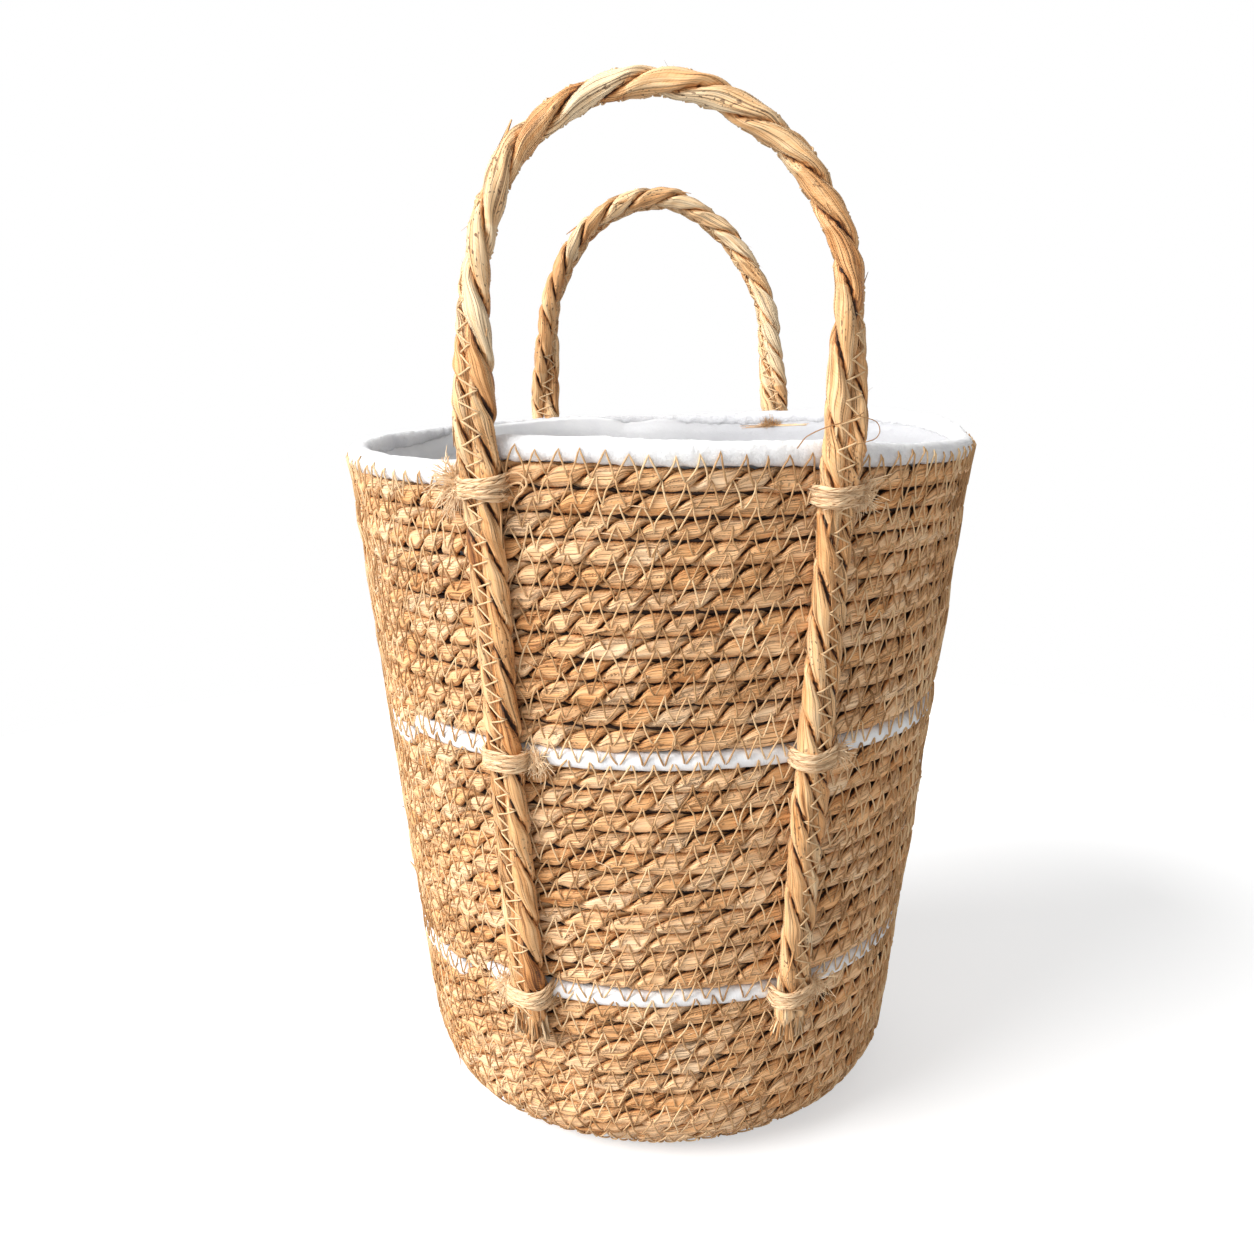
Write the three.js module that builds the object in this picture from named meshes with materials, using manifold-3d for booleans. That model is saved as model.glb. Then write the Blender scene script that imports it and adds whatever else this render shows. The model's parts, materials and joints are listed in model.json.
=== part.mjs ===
// A tall round basket of sewn water hyacinth rope: two white accent rows, a white fabric rim roll,
// a cloth liner, and two handles of two ropes each, whose ends run down the wall and are tied to it.
// Millimetres, +Z up. The origin is the centre of the flat underside, and the front handle is at -Y.
import * as THREE from "three";
import { mergeVertices } from "three/addons/utils/BufferGeometryUtils.js";
import Module from "manifold-3d";

const { degToRad } = THREE.MathUtils;

// The wall's outer face, measured down from the seam under the rim roll
const seamRadius = 138.7;
const rimLean = degToRad(5.95);
const footLean = degToRad(7.2);
const cornerRadius = 31.6;
const wallThickness = 8.5;

// Rope rows, with the height that each takes along the outer face
const upperRows = 12;
const upperPitch = 9;
const whitePitch = 8.3;
const middleRows = 11;
const middlePitch = 8.7;
const lowerRows = 6;
const lowerPitch = 8.5;
const cornerRows = 5;
const baseRows = 9;

// The rounded face of one row: how deep the seams lie, and where its flat starts
const seamDepth = 2;
const baseSeamDepth = 1.2;
const rowShoulder = 0.27;

// The rope is one spiral, so its rows lie a row lower where a turn ends, just behind the front left leg.
// They sink over this arc before the end, and this arc after it takes up the step at the rim.
const turnEndPastLeg = degToRad(1.2);
const sinkingArc = degToRad(130);
const rimStepArc = degToRad(2);

// The rim roll, which stands a little outside the wall
const rimRollRadius = 4.75;
const rimRollOverhang = 1.1;

// The cloth liner and its soft upright folds
const linerThickness = 0.9;
const linerFolds = 9;
const linerFoldDepth = 3.2;

// The handle ropes: a thick and a thin rope are sewn together side by side. The thin one is on the
// outer side of each leg, and above the rim the pair turns until the thick one is in front.
const thickRopeRadius = 4;
const thinRopeRadius = 3.2;
const ropePairGap = 0.4;
const pairTurn = degToRad(80);
const pairTurnLength = 54;
const legAzimuth = degToRad(26.8);
const flexAboveRim = 6;
const handleStraight = 50.1;
const shoulderSag = 3;

// The jute ties, how far below the rim seam the top ones lie, and how far the legs reach past the low ones
const tieWidth = 6.4;
const tieThickness = 2.2;
const topTieDepth = 11;
const legTail = 14.85;

// Clearances
const seamGap = 0.3;
const softGap = 0.4;

// How finely round shapes are faceted
const wallSides = 28;
const linerSides = 4 * linerFolds;
const rimRollSides = 8;
const ropeSides = 8;
const tieSides = 6;

// Materials
const hyacinth = { color: 0xc08f58, roughness: 0.8, metalness: 0 };
const handleStraw = { color: 0xc8965a, roughness: 0.75, metalness: 0 };
const whiteCord = { color: 0xf1f0ee, roughness: 0.9, metalness: 0 };
const whiteCloth = { color: 0xe9e9eb, roughness: 0.95, metalness: 0 };
const jute = { color: 0xc9a172, roughness: 0.9, metalness: 0 };

// Where each run of rows starts along the outer face
const upperWhiteStart = upperRows * upperPitch;
const middleStart = upperWhiteStart + whitePitch;
const lowerWhiteStart = middleStart + middleRows * middlePitch;
const lowerStart = lowerWhiteStart + whitePitch;
const cornerStart = lowerStart + lowerRows * lowerPitch;
const cornerLength = cornerRadius * (Math.PI / 2 - footLean);
const cornerPitch = cornerLength / cornerRows;

// How far below the rim seam the ties lie: the two lower ones of each leg are on the white rows.
const tieDepths = {
  top: topTieDepth,
  middle: upperWhiteStart + whitePitch / 2,
  low: lowerWhiteStart + whitePitch / 2,
};
const legLength = tieDepths.low + legTail;

// The lean of the wall grows towards the foot.
function leanAt(distance) {
  return rimLean + (footLean - rimLean) * (distance / cornerStart) ** 3;
}

// How far the outer face has come in and down at a distance from the rim seam, summed in short steps
function straightFall(distance) {
  const steps = Math.max(1, Math.ceil(Math.abs(distance)));
  const step = distance / steps;
  let inwards = 0;
  let down = 0;
  for (let i = 0; i < steps; i++) {
    const lean = leanAt((i + 0.5) * step);
    inwards += Math.sin(lean) * step;
    down += Math.cos(lean) * step;
  }
  return { inwards, down };
}

const cornerFall = straightFall(cornerStart);
const baseRadius = seamRadius - cornerFall.inwards - cornerRadius * Math.cos(footLean);
const seamHeight = cornerFall.down + cornerRadius * (1 - Math.sin(footLean));
const basePitch = baseRadius / baseRows;

// A point on the wall, as radius and height: inset is how far it lies inside the outer face. Past the
// corner it lies on the flat base.
function wallPoint(distance, inset) {
  const pastCorner = distance - cornerStart - cornerLength;
  if (pastCorner > 0) return new THREE.Vector2(baseRadius - pastCorner, inset);
  if (distance > cornerStart) {
    const lean = footLean + (distance - cornerStart) / cornerRadius;
    const reach = cornerRadius - inset;
    return new THREE.Vector2(baseRadius + reach * Math.cos(lean), cornerRadius - reach * Math.sin(lean));
  }
  const { inwards, down } = straightFall(distance);
  const lean = leanAt(distance);
  return new THREE.Vector2(
    seamRadius - inwards - inset * Math.cos(lean),
    seamHeight - down + inset * Math.sin(lean),
  );
}

// How far the rows have sunk along the wall at an azimuth, measured from the front towards the right
function sunkAt(azimuth) {
  const turnEnd = -(legAzimuth + turnEndPastLeg);
  const beforeEnd = THREE.MathUtils.euclideanModulo(turnEnd - azimuth, 2 * Math.PI);
  const afterEnd = 2 * Math.PI - beforeEnd;
  const sunk = Math.max(0, 1 - (beforeEnd / sinkingArc) ** 2);
  const step = Math.max(0, 1 - afterEnd / rimStepArc);
  return upperPitch * Math.max(sunk, step);
}

// Turned bodies are drawn as radius and height, and stand upright on +Z. Their outline depends on how
// far the rows have sunk there.
function turned(outlineAt, sides) {
  const geometry = new THREE.LatheGeometry(outlineAt(0), sides);
  const position = geometry.getAttribute("position");
  for (let side = 0; side <= sides; side++) {
    const azimuth = ((side % sides) / sides) * 2 * Math.PI;
    const outline = outlineAt(sunkAt(azimuth));
    outline.forEach(({ x, y }, row) => {
      position.setXYZ(side * outline.length + row, x * Math.sin(azimuth), y, x * Math.cos(azimuth));
    });
  }
  return geometry.rotateX(Math.PI / 2);
}

// The outer face of a run of rows, from its top seam to its bottom one
function rowFace(start, count, pitch) {
  const points = [];
  for (let row = 0; row < count; row++) {
    const top = start + row * pitch;
    if (row > 0) points.push(wallPoint(top, seamDepth));
    points.push(wallPoint(top + rowShoulder * pitch, 0));
    points.push(wallPoint(top + (1 - rowShoulder) * pitch, 0));
  }
  return points;
}

// Where the smooth inside has its points: far apart on the wall, and one for each row in the corner
function insideStations(top, bottom) {
  const longest = 70;
  const wallEnd = Math.min(bottom, cornerStart);
  const wallSteps = Math.ceil((wallEnd - top) / longest);
  const stations = [];
  for (let i = 0; i <= wallSteps; i++) stations.push(top + ((wallEnd - top) * i) / wallSteps);
  for (let at = cornerStart + cornerPitch; at < bottom; at += cornerPitch) stations.push(at);
  if (bottom > cornerStart) stations.push(bottom);
  return stations;
}

// A ring of rope rows: ridged outside, smooth inside. Each run is [rows, pitch].
function rowRing(start, runs) {
  const end = runs.reduce((sum, [count, pitch]) => sum + count * pitch, start);
  const inside = insideStations(start + seamGap / 2, end - seamGap / 2);
  return turned((sunk) => {
    const top = start + sunk + seamGap / 2;
    const bottom = end + sunk - seamGap / 2;
    const outline = [wallPoint(top, seamDepth)];
    let at = start + sunk;
    for (const [count, pitch] of runs) {
      if (at > top) outline.push(wallPoint(at, seamDepth));
      outline.push(...rowFace(at, count, pitch));
      at += count * pitch;
    }
    outline.push(wallPoint(bottom, seamDepth));
    outline.push(wallPoint(bottom, wallThickness));
    for (const distance of inside.slice(1, -1).reverse()) outline.push(wallPoint(distance, wallThickness));
    outline.push(wallPoint(top, wallThickness));
    outline.push(outline[0].clone());
    return outline.reverse();
  }, wallSides);
}

// The flat spiral base: ridged underneath, with each row's land on the floor
function baseCoil() {
  return turned((sunk) => {
    const pitch = (baseRadius - sunk) / baseRows;
    const edge = baseRadius - sunk - seamGap;
    const outline = [new THREE.Vector2(0, 0)];
    for (let row = 0; row < baseRows; row++) {
      const inner = row * pitch;
      if (row > 0) {
        outline.push(new THREE.Vector2(inner, baseSeamDepth));
        outline.push(new THREE.Vector2(inner + rowShoulder * pitch, 0));
      }
      outline.push(new THREE.Vector2(inner + (1 - rowShoulder) * pitch, 0));
    }
    outline.push(new THREE.Vector2(edge, baseSeamDepth));
    outline.push(new THREE.Vector2(edge, wallThickness));
    outline.push(new THREE.Vector2(0, wallThickness));
    return outline;
  }, wallSides);
}

// The round roll of fabric on the top row
const rimRollHeight = seamHeight + seamGap + rimRollRadius;
const rimTop = rimRollHeight + rimRollRadius;

function rimRoll() {
  return turned((sunk) => {
    const seam = wallPoint(sunk, 0);
    const outline = [];
    for (let i = 0; i <= rimRollSides; i++) {
      const angle = (i / rimRollSides) * 2 * Math.PI;
      outline.push(
        new THREE.Vector2(
          seam.x + rimRollOverhang - rimRollRadius + rimRollRadius * Math.cos(angle),
          seam.y + seamGap + rimRollRadius + rimRollRadius * Math.sin(angle),
        ),
      );
    }
    return outline;
  }, wallSides);
}

// The liner: a bag just inside the wall, from the rim roll down to the base, with folds that fade out
// at its sewn top edge and at its bottom.
const linerTop = rimRollHeight;
const linerStations = insideStations(0, cornerStart + cornerLength);

function linerOutline(sunk, inset) {
  const points = linerStations.map((distance) => wallPoint(distance, inset));
  const seam = wallPoint(sunk, inset);
  points[0].set(seam.x, seam.y + linerTop - seamHeight);
  points.push(new THREE.Vector2(0, inset));
  return points;
}

function clothLiner() {
  const facetFall = seamRadius * (1 - Math.cos(Math.PI / wallSides));
  const outerInset = wallThickness + facetFall + softGap;
  const innerInset = outerInset + linerThickness;
  const geometry = turned((sunk) => {
    return [...linerOutline(sunk, outerInset).reverse(), ...linerOutline(sunk, innerInset)];
  }, linerSides);
  const position = geometry.getAttribute("position");
  for (let i = 0; i < position.count; i++) {
    const x = position.getX(i);
    const y = position.getY(i);
    const share = THREE.MathUtils.clamp((position.getZ(i) - cornerRadius) / (linerTop - cornerRadius), 0, 1);
    const fade = 4 * share * (1 - share);
    const wave = (1 - Math.cos(linerFolds * Math.atan2(y, x))) / 2;
    const radius = Math.hypot(x, y);
    const scale = radius > 0 ? (radius - linerFoldDepth * fade * wave) / radius : 1;
    position.setX(i, x * scale);
    position.setY(i, y * scale);
  }
  return geometry;
}

// Solids, for the joins
const wasm = await Module();
wasm.setup();

function toSolid(geometry) {
  const bare = geometry.clone();
  bare.deleteAttribute("normal");
  bare.deleteAttribute("uv");
  const merged = mergeVertices(bare);
  return new wasm.Manifold(
    new wasm.Mesh({
      numProp: 3,
      vertProperties: merged.getAttribute("position").array,
      triVerts: new Uint32Array(merged.index.array),
    }),
  );
}

function toGeometry(solid) {
  const mesh = solid.getMesh();
  const geometry = new THREE.BufferGeometry();
  geometry.setAttribute("position", new THREE.BufferAttribute(mesh.vertProperties, 3));
  geometry.setIndex(new THREE.BufferAttribute(mesh.triVerts, 1));
  return geometry;
}

function ellipse(halfWidth, halfHeight, sides) {
  const points = [];
  for (let i = 0; i < sides; i++) {
    const angle = (i / sides) * 2 * Math.PI;
    points.push(new THREE.Vector2(halfWidth * Math.cos(angle), halfHeight * Math.sin(angle)));
  }
  return new THREE.Shape(points);
}

// The ropes of a pair, each with its radius and its place across the pair: outwards is positive.
const pairHalfWidth = thickRopeRadius + thinRopeRadius + ropePairGap / 2;
const pairRopes = {
  outer: { radius: thinRopeRadius, place: pairHalfWidth - thinRopeRadius },
  inner: { radius: thickRopeRadius, place: thickRopeRadius - pairHalfWidth },
};

// A round rope along a curve
function rope(curve, radius, steps) {
  return new THREE.ExtrudeGeometry(ellipse(radius, radius, ropeSides), { steps, extrudePath: curve });
}

// Over the rim the pair turns to lie in the plane of the handle, in which both ropes clear the rim roll.
const rollReach = seamRadius + rimRollOverhang + softGap;
const archRadius = (rollReach + thickRopeRadius) * Math.sin(legAzimuth);
const handlePlane = Math.max(
  ...Object.values(pairRopes).map(({ radius, place }) => {
    return Math.sqrt((rollReach + radius) ** 2 - (archRadius + place) ** 2);
  }),
);
const flexHeight = rimTop + flexAboveRim;

// One rope of a leg: side is -1 on the left and 1 on the right. It follows the wall, passes over the
// rim roll and ends in a flat under the flexing length.
function legRope(side, { radius, place }) {
  const outOfWall = new THREE.Vector3(side * Math.sin(legAzimuth), -Math.cos(legAzimuth), 0);
  const alongWall = new THREE.Vector3(side * Math.cos(legAzimuth), Math.sin(legAzimuth), 0);
  const points = [];
  const wallSteps = 7;
  const leavesWall = tieDepths.top - tieWidth / 2;
  for (let i = 0; i <= wallSteps; i++) {
    const distance = legLength + ((leavesWall - legLength) * i) / wallSteps;
    const seat = wallPoint(distance, -(softGap + radius));
    points.push(outOfWall.clone().multiplyScalar(seat.x).addScaledVector(alongWall, place).setZ(seat.y));
  }
  for (const height of [rimRollHeight, rimTop, flexHeight - radius - seamGap]) {
    points.push(new THREE.Vector3(side * (archRadius + place), -handlePlane, height));
  }
  return rope(new THREE.CatmullRomCurve3(points), radius, points.length);
}

// The route of one handle rope: up one leg, over the arch and down the other. The arch is a half
// circle whose shoulders sag inwards.
class HandleRoute extends THREE.Curve {
  constructor(place) {
    super();
    this.place = place;
    this.straight = rimTop + handleStraight - flexHeight;
    this.arch = Math.PI * archRadius;
  }

  turnAt(along) {
    const fromNearerEnd = Math.min(along, 2 * this.straight + this.arch - along);
    return pairTurn * THREE.MathUtils.smoothstep(fromNearerEnd, 0, pairTurnLength);
  }

  getPoint(t) {
    const along = t * (2 * this.straight + this.arch);
    const share = THREE.MathUtils.clamp((along - this.straight) / this.arch, 0, 1);
    const bend = share * Math.PI;
    const down = Math.max(0, along - this.straight - this.arch);
    const up = Math.min(along, this.straight) - down;
    const outward = new THREE.Vector3(-Math.cos(bend), 0, Math.sin(bend));
    const turn = this.turnAt(along);
    const reach = archRadius - shoulderSag * Math.sin(2 * bend) ** 2;
    return new THREE.Vector3(0, this.place * Math.sin(turn) - handlePlane, flexHeight + up)
      .addScaledVector(outward, reach + this.place * Math.cos(turn));
  }
}

// A handle rope ends in two rounded tips, whose centres lie on the line that the handle flexes about.
function handleRope({ radius, place }) {
  const route = new HandleRoute(place);
  const steps = 40;
  let solid = toSolid(rope(route, radius, steps));
  for (const end of [0, 1]) {
    const tip = new THREE.SphereGeometry(radius, ropeSides, ropeSides);
    const { x, y, z } = route.getPoint(end);
    tip.translate(x, y, z);
    solid = solid.add(toSolid(tip));
  }
  return toGeometry(solid);
}

// A tie: a flat band of jute from the wall over both ropes of a leg and back to the wall.
// Drawn with x across the leg, y out of the wall and z up the leg.
function tie() {
  const half = pairHalfWidth + softGap + tieThickness / 2;
  const height = softGap + 2 * thickRopeRadius + softGap + tieThickness / 2;
  const foot = softGap;
  const bend = pairHalfWidth / 2;
  const route = new THREE.CatmullRomCurve3([
    new THREE.Vector3(-half, foot, 0),
    new THREE.Vector3(-half, height - thickRopeRadius, 0),
    new THREE.Vector3(-bend, height, 0),
    new THREE.Vector3(bend, height, 0),
    new THREE.Vector3(half, height - thickRopeRadius, 0),
    new THREE.Vector3(half, foot, 0),
  ]);
  const outline = ellipse(tieWidth / 2, tieThickness / 2, tieSides);
  return new THREE.ExtrudeGeometry(outline, { steps: 8, extrudePath: route });
}

// The whole basket
const basket = new THREE.Group();

function add(parent, name, geometry, look) {
  const mesh = new THREE.Mesh(geometry, new THREE.MeshStandardMaterial(look));
  mesh.name = name;
  parent.add(mesh);
  return mesh;
}

add(basket, "base_coil", baseCoil(), hyacinth);
add(basket, "lower_wall", rowRing(lowerStart, [[lowerRows, lowerPitch], [cornerRows, cornerPitch]]), hyacinth);
add(basket, "lower_white_row", rowRing(lowerWhiteStart, [[1, whitePitch]]), whiteCord);
add(basket, "middle_wall", rowRing(middleStart, [[middleRows, middlePitch]]), hyacinth);
add(basket, "upper_white_row", rowRing(upperWhiteStart, [[1, whitePitch]]), whiteCord);
add(basket, "upper_wall", rowRing(0, [[upperRows, upperPitch]]), hyacinth);
add(basket, "rim_roll", rimRoll(), whiteCloth);
add(basket, "cloth_liner", clothLiner(), whiteCloth);

// The back of the basket is its front turned half round.
for (const [face, turn] of [["front", 0], ["back", Math.PI]]) {
  const half = new THREE.Group();
  half.rotation.z = turn;
  basket.add(half);
  for (const [hand, side] of [["left", -1], ["right", 1]]) {
    for (const [lie, pairRope] of Object.entries(pairRopes)) {
      add(half, `${face}_${hand}_leg_${lie}_rope`, legRope(side, pairRope), handleStraw);
    }
    const leg = new THREE.Group();
    leg.rotation.z = side * legAzimuth;
    half.add(leg);
    for (const [level, depth] of Object.entries(tieDepths)) {
      const seat = wallPoint(depth, 0);
      const band = add(leg, `${face}_${hand}_${level}_tie`, tie(), jute);
      band.position.set(0, -seat.x, seat.y);
      band.rotation.set(-leanAt(depth), 0, Math.PI, "ZXY");
    }
  }
  for (const [lie, pairRope] of Object.entries(pairRopes)) {
    add(half, `${face}_handle_${lie}_rope`, handleRope(pairRope), handleStraw);
  }
}

export default basket;
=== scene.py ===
import json
import math

import bpy
import mathutils
import numpy as np
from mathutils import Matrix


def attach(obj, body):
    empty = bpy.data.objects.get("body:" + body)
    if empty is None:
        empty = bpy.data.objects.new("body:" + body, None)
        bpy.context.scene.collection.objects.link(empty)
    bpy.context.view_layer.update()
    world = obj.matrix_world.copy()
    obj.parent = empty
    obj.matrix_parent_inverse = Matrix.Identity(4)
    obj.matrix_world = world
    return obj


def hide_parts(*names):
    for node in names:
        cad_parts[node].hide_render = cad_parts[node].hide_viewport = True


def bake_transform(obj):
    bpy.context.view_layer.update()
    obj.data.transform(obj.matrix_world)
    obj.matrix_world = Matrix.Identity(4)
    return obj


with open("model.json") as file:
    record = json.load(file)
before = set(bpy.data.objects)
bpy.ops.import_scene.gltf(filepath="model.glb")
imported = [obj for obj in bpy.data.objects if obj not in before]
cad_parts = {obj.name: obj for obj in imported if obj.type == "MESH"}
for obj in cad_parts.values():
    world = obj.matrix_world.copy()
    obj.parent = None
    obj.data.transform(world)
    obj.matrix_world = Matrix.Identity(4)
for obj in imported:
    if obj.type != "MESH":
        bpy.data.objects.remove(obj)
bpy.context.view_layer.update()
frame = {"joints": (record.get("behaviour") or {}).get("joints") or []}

MM = 0.001

# The wall's outer face, measured down from the seam under the rim roll
SEAM_RADIUS = 138.7 * MM
RIM_LEAN = math.radians(5.95)
FOOT_LEAN = math.radians(7.2)
CORNER_RADIUS = 31.6 * MM

# Rope rows, with the height that each takes along the outer face
UPPER_ROWS, UPPER_PITCH = 12, 9 * MM
WHITE_PITCH = 8.3 * MM
MIDDLE_ROWS, MIDDLE_PITCH = 11, 8.7 * MM
LOWER_ROWS, LOWER_PITCH = 6, 8.5 * MM
CORNER_ROWS = 5
BASE_ROWS = 9

# The rim roll and the liner inside it
ROLL_RADIUS = 4.75 * MM
ROLL_OVERHANG = 1.1 * MM
SEAM_GAP = 0.3 * MM
LINER_INSET = 10.6 * MM

# The handles: a thick and a thin rope side by side, tied to the wall with jute
LEG_AZIMUTH = math.radians(26.8)
LEG_TAIL = 14.85 * MM
THICK_RADIUS, THIN_RADIUS = 4 * MM, 3.2 * MM
PAIR_GAP = 0.4 * MM
PAIR_TURN = math.radians(80)
HANDLE_STRAIGHT = 50.1 * MM
FLEX_ABOVE_RIM = 6 * MM
SOFT_GAP = 0.4 * MM
TOP_TIE_DEPTH = 11 * MM
TIE_WIDTH = 6.4 * MM

# Where each run of rows starts along the outer face
UPPER_WHITE_START = UPPER_ROWS * UPPER_PITCH
MIDDLE_START = UPPER_WHITE_START + WHITE_PITCH
LOWER_WHITE_START = MIDDLE_START + MIDDLE_ROWS * MIDDLE_PITCH
LOWER_START = LOWER_WHITE_START + WHITE_PITCH
CORNER_START = LOWER_START + LOWER_ROWS * LOWER_PITCH
CORNER_LENGTH = CORNER_RADIUS * (math.pi / 2 - FOOT_LEAN)
CORNER_END = CORNER_START + CORNER_LENGTH
TIE_DEPTHS = {
    "top": TOP_TIE_DEPTH,
    "middle": UPPER_WHITE_START + WHITE_PITCH / 2,
    "low": LOWER_WHITE_START + WHITE_PITCH / 2,
}
LEG_LENGTH = TIE_DEPTHS["low"] + LEG_TAIL


# Small helpers
def unit(vectors):
    return vectors / np.maximum(np.linalg.norm(vectors, axis=-1, keepdims=True), 1e-12)


def smoothstep(x, low, high):
    share = np.clip((x - low) / (high - low), 0, 1)
    return share * share * (3 - 2 * share)


def smooth_noise(rng, x, spacing):
    """Random values from -1 to 1, a spacing apart along x and joined smoothly."""
    knots = rng.uniform(-1, 1, int(np.ptp(x) / spacing) + 3)
    place = (x - x.min()) / spacing
    low = place.astype(int)
    part = place - low
    part = part * part * (3 - 2 * part)
    return knots[low] * (1 - part) + knots[low + 1] * part


def layered_noise(rng, x, *layers):
    """Smooth noise in layers, each with a reach and a spacing."""
    return sum(reach * smooth_noise(rng, x, spacing) for reach, spacing in layers)


def full_circle(count):
    """Angles at even steps round a circle."""
    return np.arange(count) / count * 2 * math.pi


def wrapped(angle):
    """The same angle, between half a turn back and half a turn on."""
    return np.mod(angle + math.pi, 2 * math.pi) - math.pi


def squared(values, power):
    """Sines or cosines of a circle that is pressed towards a square."""
    return np.sign(values) * np.abs(values) ** power


def columns_at(stations, known, columns):
    """Each column's values at stations, between the stations where they are known."""
    return np.stack([np.interp(stations, known, column) for column in columns.T], -1)


def around_axis(azimuth, radius, height):
    """Points round the basket's axis. An azimuth counts from the front by way of the right."""
    points = np.broadcast_arrays(radius * np.sin(azimuth), -radius * np.cos(azimuth), height)
    return np.stack(points, -1)


def path_length(path):
    """How far along a path each of its points lies."""
    return np.concatenate([[0], np.cumsum(np.linalg.norm(np.diff(path, axis=0), axis=1))])


# The wall as a curve of radius and height
def lean_at(distance):
    return RIM_LEAN + (FOOT_LEAN - RIM_LEAN) * (distance / CORNER_START) ** 3


# How far in and down the outer face has gone at each station along it, from the seam at 0
FALL_STEP = 0.25 * MM
fall_stations = np.arange(-12 * MM, CORNER_START + 1 * MM, FALL_STEP)
fall_lean = lean_at(fall_stations)
fall_start = np.searchsorted(fall_stations, 0)
fall_inwards = np.cumsum(np.sin(fall_lean)) * FALL_STEP
fall_down = np.cumsum(np.cos(fall_lean)) * FALL_STEP
fall_inwards -= fall_inwards[fall_start]
fall_down -= fall_down[fall_start]
BASE_RADIUS = (
    SEAM_RADIUS
    - np.interp(CORNER_START, fall_stations, fall_inwards)
    - CORNER_RADIUS * math.cos(FOOT_LEAN)
)
SEAM_HEIGHT = np.interp(CORNER_START, fall_stations, fall_down) + CORNER_RADIUS * (
    1 - math.sin(FOOT_LEAN)
)


def wall_point(distance, inset):
    """Radius and height of a point on the wall, an inset inside its outer face, and the wall's lean there."""
    distance, inset = np.broadcast_arrays(np.asarray(distance, float), np.asarray(inset, float))
    turned = distance > CORNER_START
    corner_lean = FOOT_LEAN + (distance - CORNER_START) / CORNER_RADIUS
    lean = np.minimum(np.where(turned, corner_lean, lean_at(distance)), math.pi / 2)
    above_corner = np.clip(distance, fall_stations[0], CORNER_START)
    radius = SEAM_RADIUS - np.interp(above_corner, fall_stations, fall_inwards)
    height = SEAM_HEIGHT - np.interp(above_corner, fall_stations, fall_down)
    radius = np.where(turned, BASE_RADIUS + CORNER_RADIUS * np.cos(lean), radius)
    height = np.where(turned, CORNER_RADIUS * (1 - np.sin(lean)), height)
    radius = radius - np.maximum(distance - CORNER_END, 0)
    return radius - inset * np.cos(lean), height + inset * np.sin(lean), lean


def on_wall(azimuth, distance, inset):
    """Points on the wall, and the way out of it there."""
    radius, height, lean = wall_point(distance, inset)
    return around_axis(azimuth, radius, height), around_axis(azimuth, np.cos(lean), -np.sin(lean))


# The rope is one spiral. Its rows sink over this arc to the level of the next row, which they reach
# behind the front left leg.
TURN_END = -(LEG_AZIMUTH + math.radians(1.2))
SINKING_ARC = math.radians(130)

row_pitches = (
    [UPPER_PITCH] * UPPER_ROWS
    + [WHITE_PITCH]
    + [MIDDLE_PITCH] * MIDDLE_ROWS
    + [WHITE_PITCH]
    + [LOWER_PITCH] * LOWER_ROWS
    + [CORNER_LENGTH / CORNER_ROWS] * CORNER_ROWS
    + [BASE_RADIUS / BASE_ROWS] * BASE_ROWS
)
row_starts = np.concatenate([[0], np.cumsum(row_pitches)])
WALL_TURNS = UPPER_ROWS + 1 + MIDDLE_ROWS + 1 + LOWER_ROWS + CORNER_ROWS


def azimuth_of(turn):
    return TURN_END + 2 * math.pi * (np.asarray(turn) % 1)


def sunk_share(turn):
    before_end = (1 - np.asarray(turn) % 1) * 2 * math.pi
    return np.maximum(0, 1 - (before_end / SINKING_ARC) ** 2)


# The rim and the rows under it dip at the front right and rise at the back right: mm, at degrees from
# the front by way of the right
DIP_AT = (-180, -60, -40, -30, -24, -12, 0, 20, 40, 65, 80, 92, 105, 120, 138, 155, 170, 180)
DIP_DOWN = (0, 0, 0.8, 0.6, -0.6, -0.4, 1.2, 1.9, 2.8, 3.3, 2.2, -0.4, -3.2, -4.8, -4.6, -2.6, -0.8, 0)
# How far down the wall the dip fades out
DIP_DEPTH = 45 * MM


def rim_dip(azimuth):
    return MM * np.interp(np.degrees(wrapped(azimuth)), DIP_AT, DIP_DOWN)


def row_edges(turn):
    """How far down the wall a row's top and bottom seams lie, for a count of turns from the top."""
    turn = np.asarray(turn, float)
    row = np.clip(np.floor(turn).astype(int), 0, len(row_pitches) - 1)
    share = sunk_share(turn)
    after = np.minimum(row + 1, len(row_starts) - 1)
    last = np.minimum(row + 2, len(row_starts) - 1)
    top = row_starts[row] + (row_starts[after] - row_starts[row]) * share
    bottom = row_starts[after] + (row_starts[last] - row_starts[after]) * share
    dip = rim_dip(azimuth_of(turn))
    top = top + dip * (1 - smoothstep(top, 0, DIP_DEPTH))
    bottom = bottom + dip * (1 - smoothstep(bottom, 0, DIP_DEPTH))
    return top, bottom


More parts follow.
